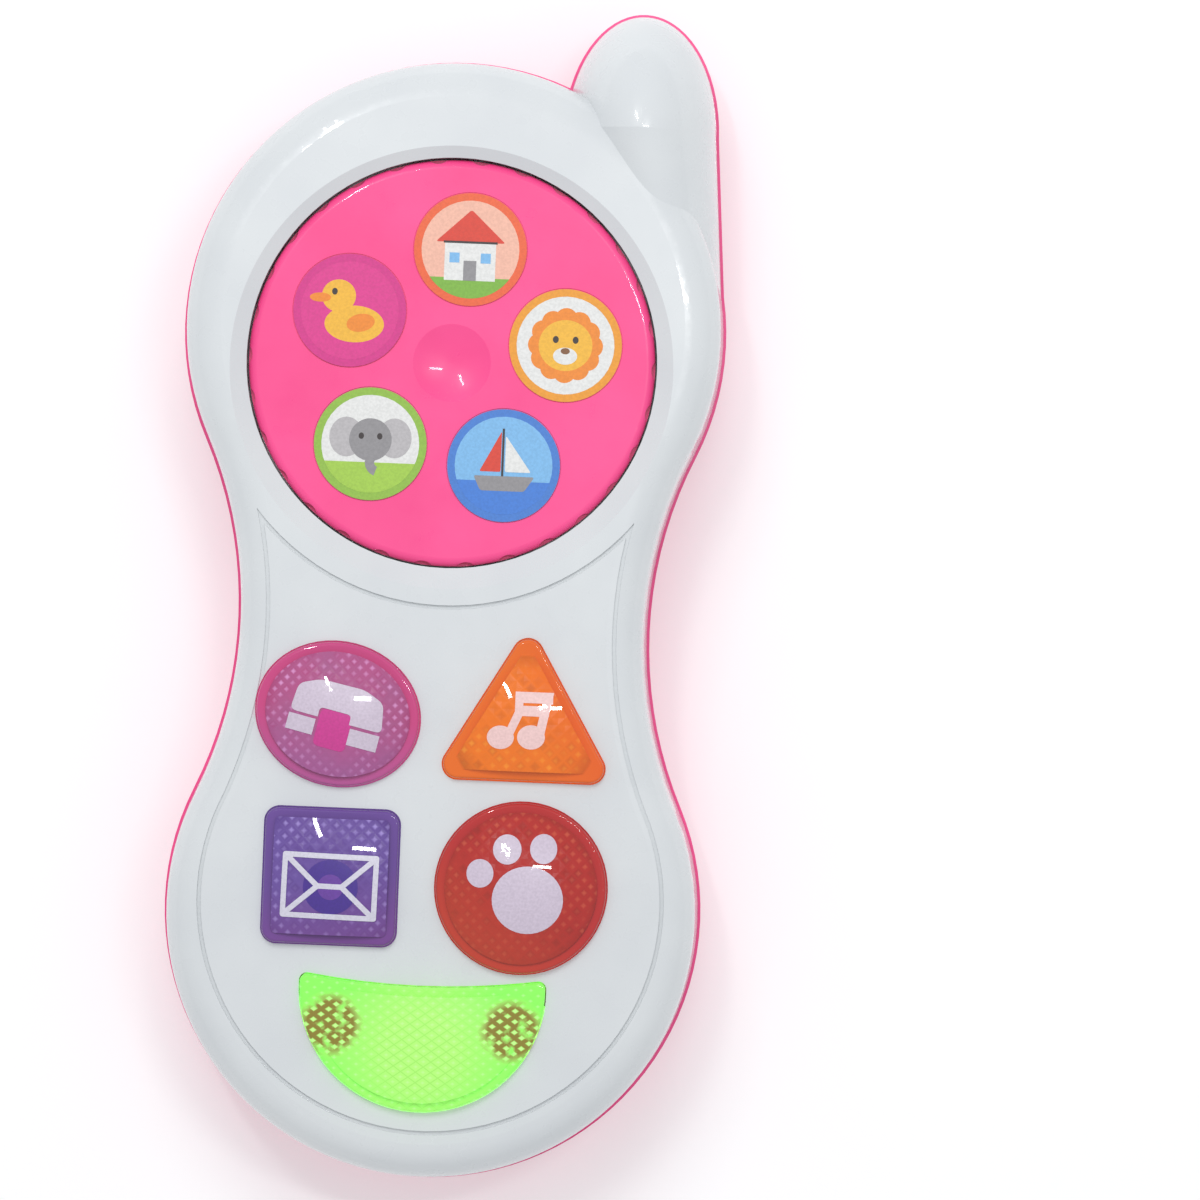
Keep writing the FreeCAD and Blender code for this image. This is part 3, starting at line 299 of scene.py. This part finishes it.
def moulded_plastic(name, colour, shade, roughness, coat):
    """Glossy injection moulding: faint mottling, flow waviness and fine orange peel."""
    material, tree, bsdf = new_material(name)
    vector = coordinates(tree)
    mottling = remapped(tree, noise(tree, vector, 14.0), 0.35, 0.65)
    tree.links.new(mixed(tree, mottling, colour, shade), bsdf.inputs["Base Color"])
    wear = remapped(tree, noise(tree, vector, 3.0, 6.0), 0.3, 0.7, roughness * 0.85, roughness * 1.25)
    tree.links.new(wear, bsdf.inputs["Roughness"])
    peel = bump(tree, bsdf, noise(tree, vector, 0.9, 2.0), 0.005, 0.25)
    bump(tree, bsdf, noise(tree, vector, 9.0, 1.0), 0.04, 0.3, peel)
    set_constants(bsdf, Coat_Weight=coat, Coat_Roughness=0.05, IOR=1.5)
    return material


def plain_surface(name, colour, roughness, metallic=0.0, grain_mm=0.6, grain_depth=0.02):
    """Inner pieces: base colour broken up by noise, with a little grain."""
    material, tree, bsdf = new_material(name)
    vector = coordinates(tree)
    darker = tuple(channel * 0.78 for channel in colour)
    patches = remapped(tree, noise(tree, vector, grain_mm * 6), 0.35, 0.65)
    tree.links.new(mixed(tree, patches, colour, darker), bsdf.inputs["Base Color"])
    bump(tree, bsdf, noise(tree, vector, grain_mm), grain_depth, 0.6)
    set_constants(bsdf, Roughness=roughness, Metallic=metallic)
    return material


def board_surface():
    """Brown phenolic board with pale tracks."""
    material, tree, bsdf = new_material("board")
    vector = coordinates(tree)
    heights, _ = lattice(tree, vector, 5.0, 5.0)
    tracks = remapped(tree, heights, 0.40, 0.46)
    tree.links.new(mixed(tree, tracks, BOARD_BROWN, BOARD_TRACK), bsdf.inputs["Base Color"])
    bump(tree, bsdf, noise(tree, vector, 0.5), 0.02, 0.5)
    set_constants(bsdf, Roughness=0.5)
    return material


# ---------------------------------------------------------------- materials of the buttons


def centre_of(node):
    low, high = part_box(node)
    return ((low[0] + high[0]) / 2, (low[1] + high[1]) / 2)


def across_mm(tree, vector, centre, heading):
    """Distance in millimetres from a centre, measured along a heading given in degrees."""
    angle = math.radians(-heading)
    turned_centre = (centre[0] * math.cos(angle) - centre[1] * math.sin(angle)) / MM
    flat = mapped(tree, vector, (1 / MM, 1 / MM, 0.0), angle, (-turned_centre, 0.0, 0.0))
    node = tree.nodes.new("ShaderNodeSeparateXYZ")
    tree.links.new(flat, node.inputs["Vector"])
    return node.outputs["X"]


def prism_plastic(node, look):
    """Clear tinted cap: a smooth rim round a domed field of moulded diamond prisms.

    Painted glints on the prisms grow towards the field's edge, and a painted shadow line runs round its
    foot.
    The wall down in the gap glows with painted light, which lifts the shade there.
    """
    material, tree, bsdf = new_material(look["slot"])
    vector = coordinates(tree)
    centre = centre_of(node)
    reach = look["reach"]
    rim_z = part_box(node)[1][2] / MM - look["rise"]
    above = height_mm(tree, vector)
    on_field = over_rim(tree, above, rim_z, FIELD_STARTS)
    foot_shadow = over_rim(tree, above, rim_z, FOOT_SHADOW_LINE)
    heights, random = lattice(tree, vector, look["pitch"], look["pitch"])
    outer = remapped(tree, distance_mm(tree, vector, centre), reach * 0.35, reach * 0.85)

    shade = product(tree, remapped(tree, random, 0.35, 1.0), remapped(tree, heights, 0.48, 0.2), 0.55)
    tint = mixed(tree, shade, look["field"], look["deep_and_shadow"])
    soft = remapped(tree, noise(tree, vector, 6.0, 2.0), 0.35, 0.68)
    tint = mixed(tree, product(tree, soft, 0.35), tint, look["rim"])
    dot = remapped(tree, heights, 0.30, 0.10)
    chosen = remapped(tree, noise(tree, vector, 3.6, 1.0), 0.38, 0.52)
    tint = mixed(tree, product(tree, dot, chosen, outer, 0.85), tint, look["spark"])
    # Painted shadow: a darker line round the foot of the field.
    tint = mixed(tree, product(tree, foot_shadow, 0.6), tint, look["deep_and_shadow"])
    tint = mixed(tree, on_field, look["rim"], tint)
    # Painted shading: the tint drifts to the cast colour towards one side of the cap.
    shading_drift = remapped(tree, across_mm(tree, vector, centre, look["heading"]), 0.0, reach, 0.0, 0.7)
    tint = mixed(tree, shading_drift, tint, look["shading_colour"])
    tree.links.new(tint, bsdf.inputs["Base Color"])
    tree.links.new(tint, bsdf.inputs["Emission Color"])
    # Painted light: the cap's wall down in the gap glows, lifting the shade there.
    glow = over_rim(tree, above, rim_z, GAP_WALL, look["glow"], PAINTED_GAP_GLOW)
    tree.links.new(glow, bsdf.inputs["Emission Strength"])
    bump(tree, bsdf, product(tree, heights, on_field), 0.3, 0.35)
    set_constants(bsdf, Roughness=0.25, Specular_IOR_Level=0.15, Coat_Weight=1.0, Coat_Roughness=0.02)
    return material


def lit_lens():
    """Green window lit from behind, with the lamp holder's mesh showing near both ends."""
    material, tree, bsdf = new_material("clear_green")
    vector = coordinates(tree)
    low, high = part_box("smile_lens")
    centre = centre_of("smile_lens")
    middle = remapped(tree, distance_mm(tree, vector, centre), 14.0, 5.0)
    light = mixed(tree, middle, LENS_EDGE, LENS_MIDDLE)
    heights, _ = lattice(tree, vector, *LENS_PRISMS)
    ridges = remapped(tree, heights, 0.36, 0.48)
    light = mixed(tree, product(tree, ridges, middle, 0.5), light, LENS_RIDGE)
    light = mixed(tree, remapped(tree, heights, 0.2, 0.05, 0.0, 0.4), light, LENS_GLINT)
    half = (high[0] - low[0]) / 2
    share, rise = MESH_AT
    for side in (-1, 1):
        spot = (centre[0] + side * half * share, centre[1] + rise * MM)
        near = remapped(tree, distance_mm(tree, vector, spot), *MESH_R)
        ragged = product(tree, near, remapped(tree, noise(tree, vector, 2.2), 0.30, 0.48))
        mesh_lines = product(tree, ragged, remapped(tree, heights, 0.16, 0.30))
        light = mixed(tree, product(tree, ragged, 0.5), light, MESH_HAZE)
        light = mixed(tree, mesh_lines, light, MESH_BROWN)
    tree.links.new(light, bsdf.inputs["Emission Color"])
    tree.links.new(light, bsdf.inputs["Base Color"])
    rim_z = high[2] / MM - LENS_RISE
    glow = over_rim(tree, height_mm(tree, vector), rim_z, GAP_WALL, LENS_GLOW, LENS_GAP_GLOW)
    tree.links.new(glow, bsdf.inputs["Emission Strength"])
    bump(tree, bsdf, heights, 0.25, 0.3)
    set_constants(bsdf, Roughness=0.3, Specular_IOR_Level=0.2, Coat_Weight=0.8, Coat_Roughness=0.03)
    return material


INKS = {}


def ink(name, colour):
    """Printed colour with a faint halftone grain, made once for each name."""
    if name not in INKS:
        material, tree, bsdf = new_material("ink_" + name)
        vector = coordinates(tree)
        darker = tuple(channel * 0.88 for channel in colour)
        grain = remapped(tree, noise(tree, vector, 0.35, 2.0), 0.35, 0.65)
        tree.links.new(mixed(tree, grain, colour, darker), bsdf.inputs["Base Color"])
        set_constants(bsdf, Roughness=0.35, Coat_Weight=0.8, Coat_Roughness=0.04)
        INKS[name] = material
    return INKS[name]


def paint(node, material):
    slots = frame["nodes"][node].data.materials
    slots.clear()
    slots.append(material)


# ---------------------------------------------------------------- flat outlines, in millimetres


def ellipse(x, y, half_x, half_y, turn=0.0, steps=40):
    angle = math.radians(turn)
    points = []
    for i in range(steps):
        a = 2 * math.pi * i / steps
        u = half_x * math.cos(a)
        v = half_y * math.sin(a)
        points.append((x + u * math.cos(angle) - v * math.sin(angle),
                       y + u * math.sin(angle) + v * math.cos(angle)))
    return points


def polygon(corners, radius=0.0, steps=5):
    """Polygon with its corners rounded."""
    if radius == 0.0:
        return list(corners)
    count = len(corners)
    points = []
    for i in range(count):
        corner = Vector(corners[i])
        start = corner + (Vector(corners[i - 1]) - corner).normalized() * radius
        end = corner + (Vector(corners[(i + 1) % count]) - corner).normalized() * radius
        for k in range(steps + 1):
            t = k / steps
            points.append(tuple(start * (1 - t) ** 2 + corner * 2 * t * (1 - t) + end * t ** 2))
    return points


def rectangle(x0, x1, y0, y1, radius=0.0):
    return polygon([(x0, y0), (x1, y0), (x1, y1), (x0, y1)], radius)


def line(start, end, width):
    a = Vector(start)
    b = Vector(end)
    along = (b - a).normalized()
    side = Vector((-along.y, along.x)) * width / 2
    return [tuple(a + side), tuple(a - side), tuple(b - side), tuple(b + side)]


def crescent(x, y, radius, begin, end, width, steps=20):
    """Part of a ring, between two angles."""
    inner = []
    outer = []
    for i in range(steps + 1):
        angle = math.radians(begin + (end - begin) * i / steps)
        heading = Vector((math.cos(angle), math.sin(angle)))
        outer.append(tuple(Vector((x, y)) + heading * (radius + width / 2)))
        inner.append(tuple(Vector((x, y)) + heading * (radius - width / 2)))
    return outer + inner[::-1]


def disc_below(radius, level, steps=40):
    """The part of a disc that lies below a level."""
    half = math.sqrt(radius ** 2 - level ** 2)
    begin = math.atan2(level, -half) + 2 * math.pi
    end = math.atan2(level, half) + 2 * math.pi
    points = []
    for i in range(steps + 1):
        angle = begin + (end - begin) * i / steps
        points.append((radius * math.cos(angle), radius * math.sin(angle)))
    return points


def turned(outline, degrees):
    angle = math.radians(degrees)
    return [(x * math.cos(angle) - y * math.sin(angle), x * math.sin(angle) + y * math.cos(angle))
            for x, y in outline]


# ---------------------------------------------------------------- laying outlines on the toy


def within(x, y, outline):
    """Whether a place is inside an outline."""
    inside = False
    for (x0, y0), (x1, y1) in zip(outline, outline[1:] + outline[:1]):
        if (y0 > y) != (y1 > y) and x < x0 + (y - y0) / (y1 - y0) * (x1 - x0):
            inside = not inside
    return inside


def divided(outline, step):
    points = []
    for start, end in zip(outline, outline[1:] + outline[:1]):
        a = Vector(start)
        b = Vector(end)
        pieces = max(1, math.ceil((b - a).length / step))
        points += [tuple(a.lerp(b, k / pieces)) for k in range(pieces)]
    return points


def patch(outlines, holes, step):
    """Triangles no longer than about a step that cover the outlines together, less the holes."""
    points = []
    edges = []
    for outline in outlines + holes:
        loop = divided(outline, step)
        first = len(points)
        points += loop
        edges += [(first + i, first + (i + 1) % len(loop)) for i in range(len(loop))]

    def covered(x, y):
        return any(within(x, y, o) for o in outlines) and not any(within(x, y, h) for h in holes)

    left = min(x for x, _ in points)
    low = min(y for _, y in points)
    columns = math.ceil((max(x for x, _ in points) - left) / step)
    rows = math.ceil((max(y for _, y in points) - low) / step)
    for i in range(1, columns):
        for j in range(1, rows):
            place = (left + i * step, low + j * step)
            if covered(*place):
                points.append(place)
    corners, _, faces, *_ = delaunay_2d_cdt([Vector(p) for p in points], edges, [], 0, MERGE_DISTANCE)
    kept = []
    for face in faces:
        middle = sum((corners[i] for i in face), Vector((0.0, 0.0))) / len(face)
        if covered(*middle):
            kept.append(tuple(face))
    return corners, kept


def open_edges(faces):
    """Edges that only one face has, in that face's direction."""
    directed = {(a, b) for face in faces for a, b in zip(face, face[1:] + face[:1])}
    return [(a, b) for a, b in sorted(directed) if (b, a) not in directed]


def lay(name, outlines, at, height, lift_mm, thick_mm, material, body, step, holes=()):
    """Makes a thin printed or inlaid layer from flat outlines placed about a point."""
    corners, faces = patch(list(outlines), list(holes), step)
    used = sorted({i for face in faces for i in face})
    place = {old: new for new, old in enumerate(used)}
    faces = [tuple(place[i] for i in face) for face in faces]
    vertices = []
    for i in used:
        x = at[0] + corners[i].x * MM
        y = at[1] + corners[i].y * MM
        vertices.append((x, y, height(x, y) + lift_mm * MM))
    lower = {}
    for a, b in open_edges(faces):
        for i in (a, b):
            if i not in lower:
                x, y, z = vertices[i]
                lower[i] = len(vertices)
                vertices.append((x, y, z - thick_mm * MM))
        faces.append((b, a, lower[a], lower[b]))
    mesh = bpy.data.meshes.new(name)
    mesh.from_pydata(vertices, [], faces)
    mesh.materials.append(material)
    piece = bpy.data.objects.new(name, mesh)
    bpy.context.scene.collection.objects.link(piece)
    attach(piece, body)


def surface_of(node):
    """A function that gives the top surface's height over a place, all in metres."""
    tree = BVHTree.FromObject(frame["nodes"][node], bpy.context.evaluated_depsgraph_get())
    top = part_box(node)[1][2] + RAY_START

    def height(x, y):
        place, *_ = tree.ray_cast(Vector((x, y, top)), Vector((0, 0, -1)))
        return place.z

    return height


# ---------------------------------------------------------------- button icons


def handset_icon():
    """Telephone handset: a thick arched grip over two ear pieces, parted by thin gaps."""
    grip = polygon([(-6.6, -1.0), (-6.3, 2.9), (-3.4, 4.2), (2.9, 4.3), (5.9, 3.1), (6.7, -1.0)], 0.9)
    ears = [rectangle(-6.6, -2.7, -3.7, -1.4), rectangle(2.3, 6.55, -3.8, -1.45)]
    notch = rectangle(-2.55, 2.0, -3.0, 0.4, 0.6)
    return [turned(outline, HANDSET_TURN) for outline in [grip] + ears], [turned(notch, HANDSET_TURN)]


def note_icon():
    """Two notes joined by a double beam."""
    heads = [ellipse(-3.4, -3.9, 1.9, 1.65), ellipse(0.9, -3.75, 1.95, 1.7)]
    left = [(-2.7, -3.0), (-1.6, -3.4), (-0.4, -0.7), (-0.4, 2.6), (-1.5, 2.6), (-1.5, -0.2)]
    right = [(1.6, -2.6), (2.75, -3.3), (3.9, 2.6), (2.7, 2.6)]
    beams = [rectangle(-1.5, 3.8, 0.95, 2.6), rectangle(-1.5, 3.3, -0.8, 0.95)]
    return heads + [left, right] + beams, [rectangle(-0.35, 2.3, 0.65, 1.05)]


def envelope_icon():
    """Outline of an envelope with its fold lines meeting at a short bar."""
    half_x = 6.4
    half_y = 4.25
    bar = 1.7
    width = 0.75
    corners = [(-half_x, -half_y), (half_x, -half_y), (half_x, half_y), (-half_x, half_y)]
    outlines = [line(corners[i - 1], corners[i], width) for i in range(4)]
    for x, y in corners:
        outlines.append(ellipse(x, y, width / 2, width / 2, steps=12))
        outlines.append(line((x, y), (math.copysign(bar, x), 0.0), width))
    outlines.append(line((-bar, 0.0), (bar, 0.0), width))
    return [[(x, y - 1.3) for x, y in turned(outline, -1)] for outline in outlines], []


def paw_icon():
    """Paw print: a pad and three toes."""
    return [ellipse(1.0, -1.5, 5.0, 4.75), ellipse(-5.8, 2.0, 1.9, 2.0), ellipse(-2.1, 5.5, 2.0, 2.1),
            ellipse(3.0, 5.75, 1.9, 2.1)], []


def add_icon(name, label, layer, material, outlines, holes=()):
    node = name + "_button"
    lift = ICON_LIFT + ICON_LAYER * layer
    lay(f"{name}_{label}", outlines, centre_of(node), surface_of(node), lift, ICON_THICK, material,
        node, ICON_STEP, holes)


def add_icons():
    lilac = ink("lilac", ICON_LILAC)
    post = turned(rectangle(-2.3, 2.3, -5.0, 0.35, 0.9), HANDSET_TURN)
    add_icon("oval", "post", 0, ink("post", POST_PINK), [post])
    add_icon("oval", "icon", 1, lilac, *handset_icon())
    add_icon("triangle", "icon", 0, ink("rose_white", ICON_ROSE), *note_icon())
    post_at = (0.15, -1.4)
    add_icon("square", "post", 0, ink("violet_post", POST_VIOLET), [ellipse(*post_at, 3.85, 3.85)])
    add_icon("square", "core", 1, ink("violet_core", CORE_VIOLET), [ellipse(*post_at, 1.8, 1.8)])
    add_icon("square", "icon", 2, ink("pale_lilac", ICON_PALE_LILAC), *envelope_icon())
    add_icon("round", "icon", 0, lilac, *paw_icon())


# ---------------------------------------------------------------- dial pictures


WHITE = ("white", (0.78, 0.78, 0.76))
RED = ("red", (0.70, 0.045, 0.02))
ORANGE = ("orange", (0.86, 0.25, 0.015))
YELLOW = ("yellow", (0.88, 0.47, 0.03))
PEACH = ("peach", (0.88, 0.48, 0.36))
GREY = ("grey", (0.28, 0.27, 0.28))
PALE_GREY = ("pale_grey", (0.48, 0.46, 0.47))
DARK = ("dark", (0.03, 0.02, 0.02))
BLUE = ("blue", (0.045, 0.20, 0.66))
SKY = ("sky", (0.20, 0.48, 0.80))
GREEN = ("green", (0.20, 0.45, 0.04))
LEAF = ("leaf", (0.36, 0.60, 0.06))
MAGENTA = ("magenta", (0.72, 0.03, 0.26))
BROWN = ("brown", (0.22, 0.09, 0.03))


def eyes(y, gap, size):
    return (DARK, [ellipse(side * gap, y, size, size * 1.2, steps=20) for side in (-1, 1)])


def house_picture():
    """Red-roofed house under a peach sky."""
    return [(PEACH, [ellipse(0, 0, PICTURE_R, PICTURE_R)]),
            (GREEN, [disc_below(PICTURE_R, -4.0)]),
            (WHITE, [rectangle(-3.6, 3.6, -4.4, 1.2)]),
            (RED, [polygon([(-4.9, 1.0), (4.9, 1.0), (0, 5.6)], 0.4)]),
            (GREY, [rectangle(-0.9, 0.9, -4.4, -1.6)]),
            (SKY, [rectangle(x - 0.7, x + 0.7, -1.9, -0.5) for x in (-2.2, 2.2)]),
            (DARK, [rectangle(-3.8, 3.8, 0.85, 1.15)])]


def lion_picture():
    """Lion's face with an orange mane."""
    mane = []
    for i in range(12):
        angle = math.radians(30 * i)
        mane.append(ellipse(3.7 * math.cos(angle), 3.7 * math.sin(angle), 1.6, 1.6, steps=24))
    return [(WHITE, [ellipse(0, 0, PICTURE_R, PICTURE_R)]),
            (ORANGE, mane),
            (YELLOW, [ellipse(0, 0, 3.8, 3.6)]),
            eyes(0.8, 1.4, 0.42),
            (WHITE, [ellipse(0, -1.5, 1.7, 1.2)]),
            (BROWN, [ellipse(0, -0.8, 0.65, 0.45, steps=20)])]


def boat_picture():
    """Sailing boat with a red and a white sail."""
    return [(SKY, [ellipse(0, 0, PICTURE_R, PICTURE_R)]),
            (BLUE, [disc_below(PICTURE_R, -2.2)]),
            (GREY, [polygon([(-3.2, -3.6), (3.0, -3.6), (4.4, -1.5), (-4.2, -1.5)], 0.4)]),
            (RED, [polygon([(-3.4, -0.9), (-0.4, -0.9), (-0.4, 4.8)], 0.3)]),
            (WHITE, [polygon([(0.2, -0.9), (3.9, -0.9), (0.2, 4.2)], 0.3)]),
            (DARK, [rectangle(-0.3, 0.0, -1.5, 5.2)])]


def elephant_picture():
    """Grey elephant's face over grass."""
    return [(WHITE, [ellipse(0, 0, PICTURE_R, PICTURE_R)]),
            (LEAF, [disc_below(PICTURE_R, -2.6)]),
            (PALE_GREY, [ellipse(-3.4, 0.9, 2.4, 2.8), ellipse(3.4, 0.9, 2.4, 2.8)]),
            (GREY, [ellipse(0, 0.6, 3.0, 3.0), crescent(1.3, -2.6, 1.3, 90, 250, 1.3)]),
            eyes(1.1, 1.3, 0.38)]


def duck_picture():
    """Yellow duck on a magenta ground."""
    return [(MAGENTA, [ellipse(0, 0, PICTURE_R, PICTURE_R)]),
            (YELLOW, [ellipse(0.7, -1.9, 4.2, 2.6), ellipse(-1.6, 2.0, 2.4, 2.3)]),
            (ORANGE, [ellipse(1.6, -1.7, 2.0, 1.25, 12), ellipse(-4.2, 1.7, 1.5, 0.65)]),
            (DARK, [ellipse(-2.2, 2.6, 0.4, 0.48, steps=20)])]


PICTURES = [(house_picture, ("rim_red", (0.84, 0.12, 0.03))),
            (lion_picture, ("rim_yellow", (0.84, 0.33, 0.015))),
            (boat_picture, ("rim_blue", (0.05, 0.20, 0.62))),
            (elephant_picture, ("rim_green", (0.28, 0.50, 0.05))),
            (duck_picture, ("rim_magenta", (0.66, 0.02, 0.24)))]


def add_picture(number, drawing, rim):
    node = f"picture_sticker_{number}"
    paint(node, ink(*rim))
    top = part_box(node)[1][2]
    for layer, (colour, outlines) in enumerate(drawing):
        lift = PRINT_LIFT + PRINT_LAYER * layer
        lay(f"{node}_print_{layer}", outlines, centre_of(node), lambda x, y: top, lift, lift,
            ink(*colour), "dial", PRINT_STEP)


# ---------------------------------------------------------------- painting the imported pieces


def paint_pieces():
    materials = {
        "white_shell": moulded_plastic("white_shell", SHELL_WHITE, SHELL_SHADE, 0.28, 0.6),
        "pink_shell": moulded_plastic("pink_shell", DIAL_PINK, DIAL_PINK_DEEP, 0.32, 0.4),
        "sticker_paper": ink(*WHITE),
        "steel": plain_surface("steel", (0.55, 0.55, 0.57), 0.30, metallic=1.0, grain_mm=0.3),
        "plated": plain_surface("plated", (0.70, 0.70, 0.66), 0.22, metallic=1.0, grain_mm=0.4),
        "grey_plastic": plain_surface("grey_plastic", (0.075, 0.075, 0.09), 0.5),
        "silicone": plain_surface("silicone", (0.66, 0.66, 0.62), 0.6),
        "board": board_surface(),
        "resin": plain_surface("resin", (0.012, 0.012, 0.012), 0.25),
        "lamp": plain_surface("lamp", (0.75, 0.82, 0.75), 0.12),
        "speaker_steel": plain_surface("speaker_steel", (0.32, 0.32, 0.34), 0.4, metallic=1.0),
        "cone_paper": plain_surface("cone_paper", (0.03, 0.03, 0.032), 0.85, grain_depth=0.05),
        "cell_jacket": plain_surface("cell_jacket", (0.04, 0.12, 0.30), 0.3, metallic=0.5),
        "wire_red": plain_surface("wire_red", (0.55, 0.02, 0.02), 0.45),
        "wire_black": plain_surface("wire_black", (0.01, 0.01, 0.01), 0.45),
    }
    for part in frame["record"]["subparts"]:
        if part["material_slot"] in materials:
            paint(part["node"], materials[part["material_slot"]])


def paint_buttons():
    for name, look in BUTTONS.items():
        node = name + "_button"
        paint(node, prism_plastic(node, look))
    paint("smile_lens", lit_lens())


# ---------------------------------------------------------------- floor, light and camera


def add_floor():
    material, tree, bsdf = new_material("floor")
    vector = coordinates(tree)
    shade = tuple(channel * 0.985 for channel in FLOOR_WHITE)
    patches = remapped(tree, noise(tree, vector, 60.0), 0.3, 0.7)
    tree.links.new(mixed(tree, patches, FLOOR_WHITE, shade), bsdf.inputs["Base Color"])
    set_constants(bsdf, Roughness=0.7, Emission_Color=(1.0, 1.0, 1.0), Emission_Strength=FLOOR_GLOW)
    half = FLOOR_HALF
    corners = [(-half, -half, 0), (half, -half, 0), (half, half, 0), (-half, half, 0)]
    mesh = bpy.data.meshes.new("floor")
    mesh.from_pydata(corners, [], [(0, 1, 2, 3)])
    mesh.materials.append(material)
    floor = bpy.data.objects.new("floor", mesh)
    floor.location.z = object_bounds()[0][2] - FLOOR_GAP
    bpy.context.scene.collection.objects.link(floor)


def add_light(name, place, size, watts, turn, glints):
    """Rectangular lamp that looks straight down, turned in its own plane."""
    light = bpy.data.lights.new(name, "AREA")
    light.shape = "RECTANGLE"
    light.size = size[0]
    light.size_y = size[1]
    light.energy = watts
    lamp = bpy.data.objects.new(name, light)
    lamp.location = place
    lamp.rotation_euler = (0.0, 0.0, math.radians(turn))
    lamp.visible_glossy = glints
    bpy.context.scene.collection.objects.link(lamp)


def add_world():
    world = bpy.data.worlds.new("studio")
    world.use_nodes = True
    background = world.node_tree.nodes["Background"]
    background.inputs["Color"].default_value = (*WORLD_WHITE, 1.0)
    background.inputs["Strength"].default_value = WORLD_STRENGTH
    bpy.context.scene.world = world


def add_camera():
    data = bpy.data.cameras.new("camera")
    data.sensor_width = SENSOR_MM
    data.lens = SENSOR_MM * CAMERA_DISTANCE / VIEW_WIDTH
    data.clip_start = 0.01
    data.clip_end = 20.0
    camera = bpy.data.objects.new("camera", data)
    camera.location = (*CAMERA_OVER, FACE_Z + CAMERA_DISTANCE)
    camera.rotation_euler = (0.0, 0.0, CAMERA_TURN)
    bpy.context.scene.collection.objects.link(camera)
    bpy.context.scene.camera = camera


paint_pieces()
paint_buttons()
add_icons()
for number, (picture, rim) in enumerate(PICTURES, start=1):
    add_picture(number, picture(), rim)

add_floor()
add_world()
for name, lamp in LAMPS.items():
    add_light(name, *lamp)
add_camera()
bpy.context.scene.view_settings.view_transform = "Standard"
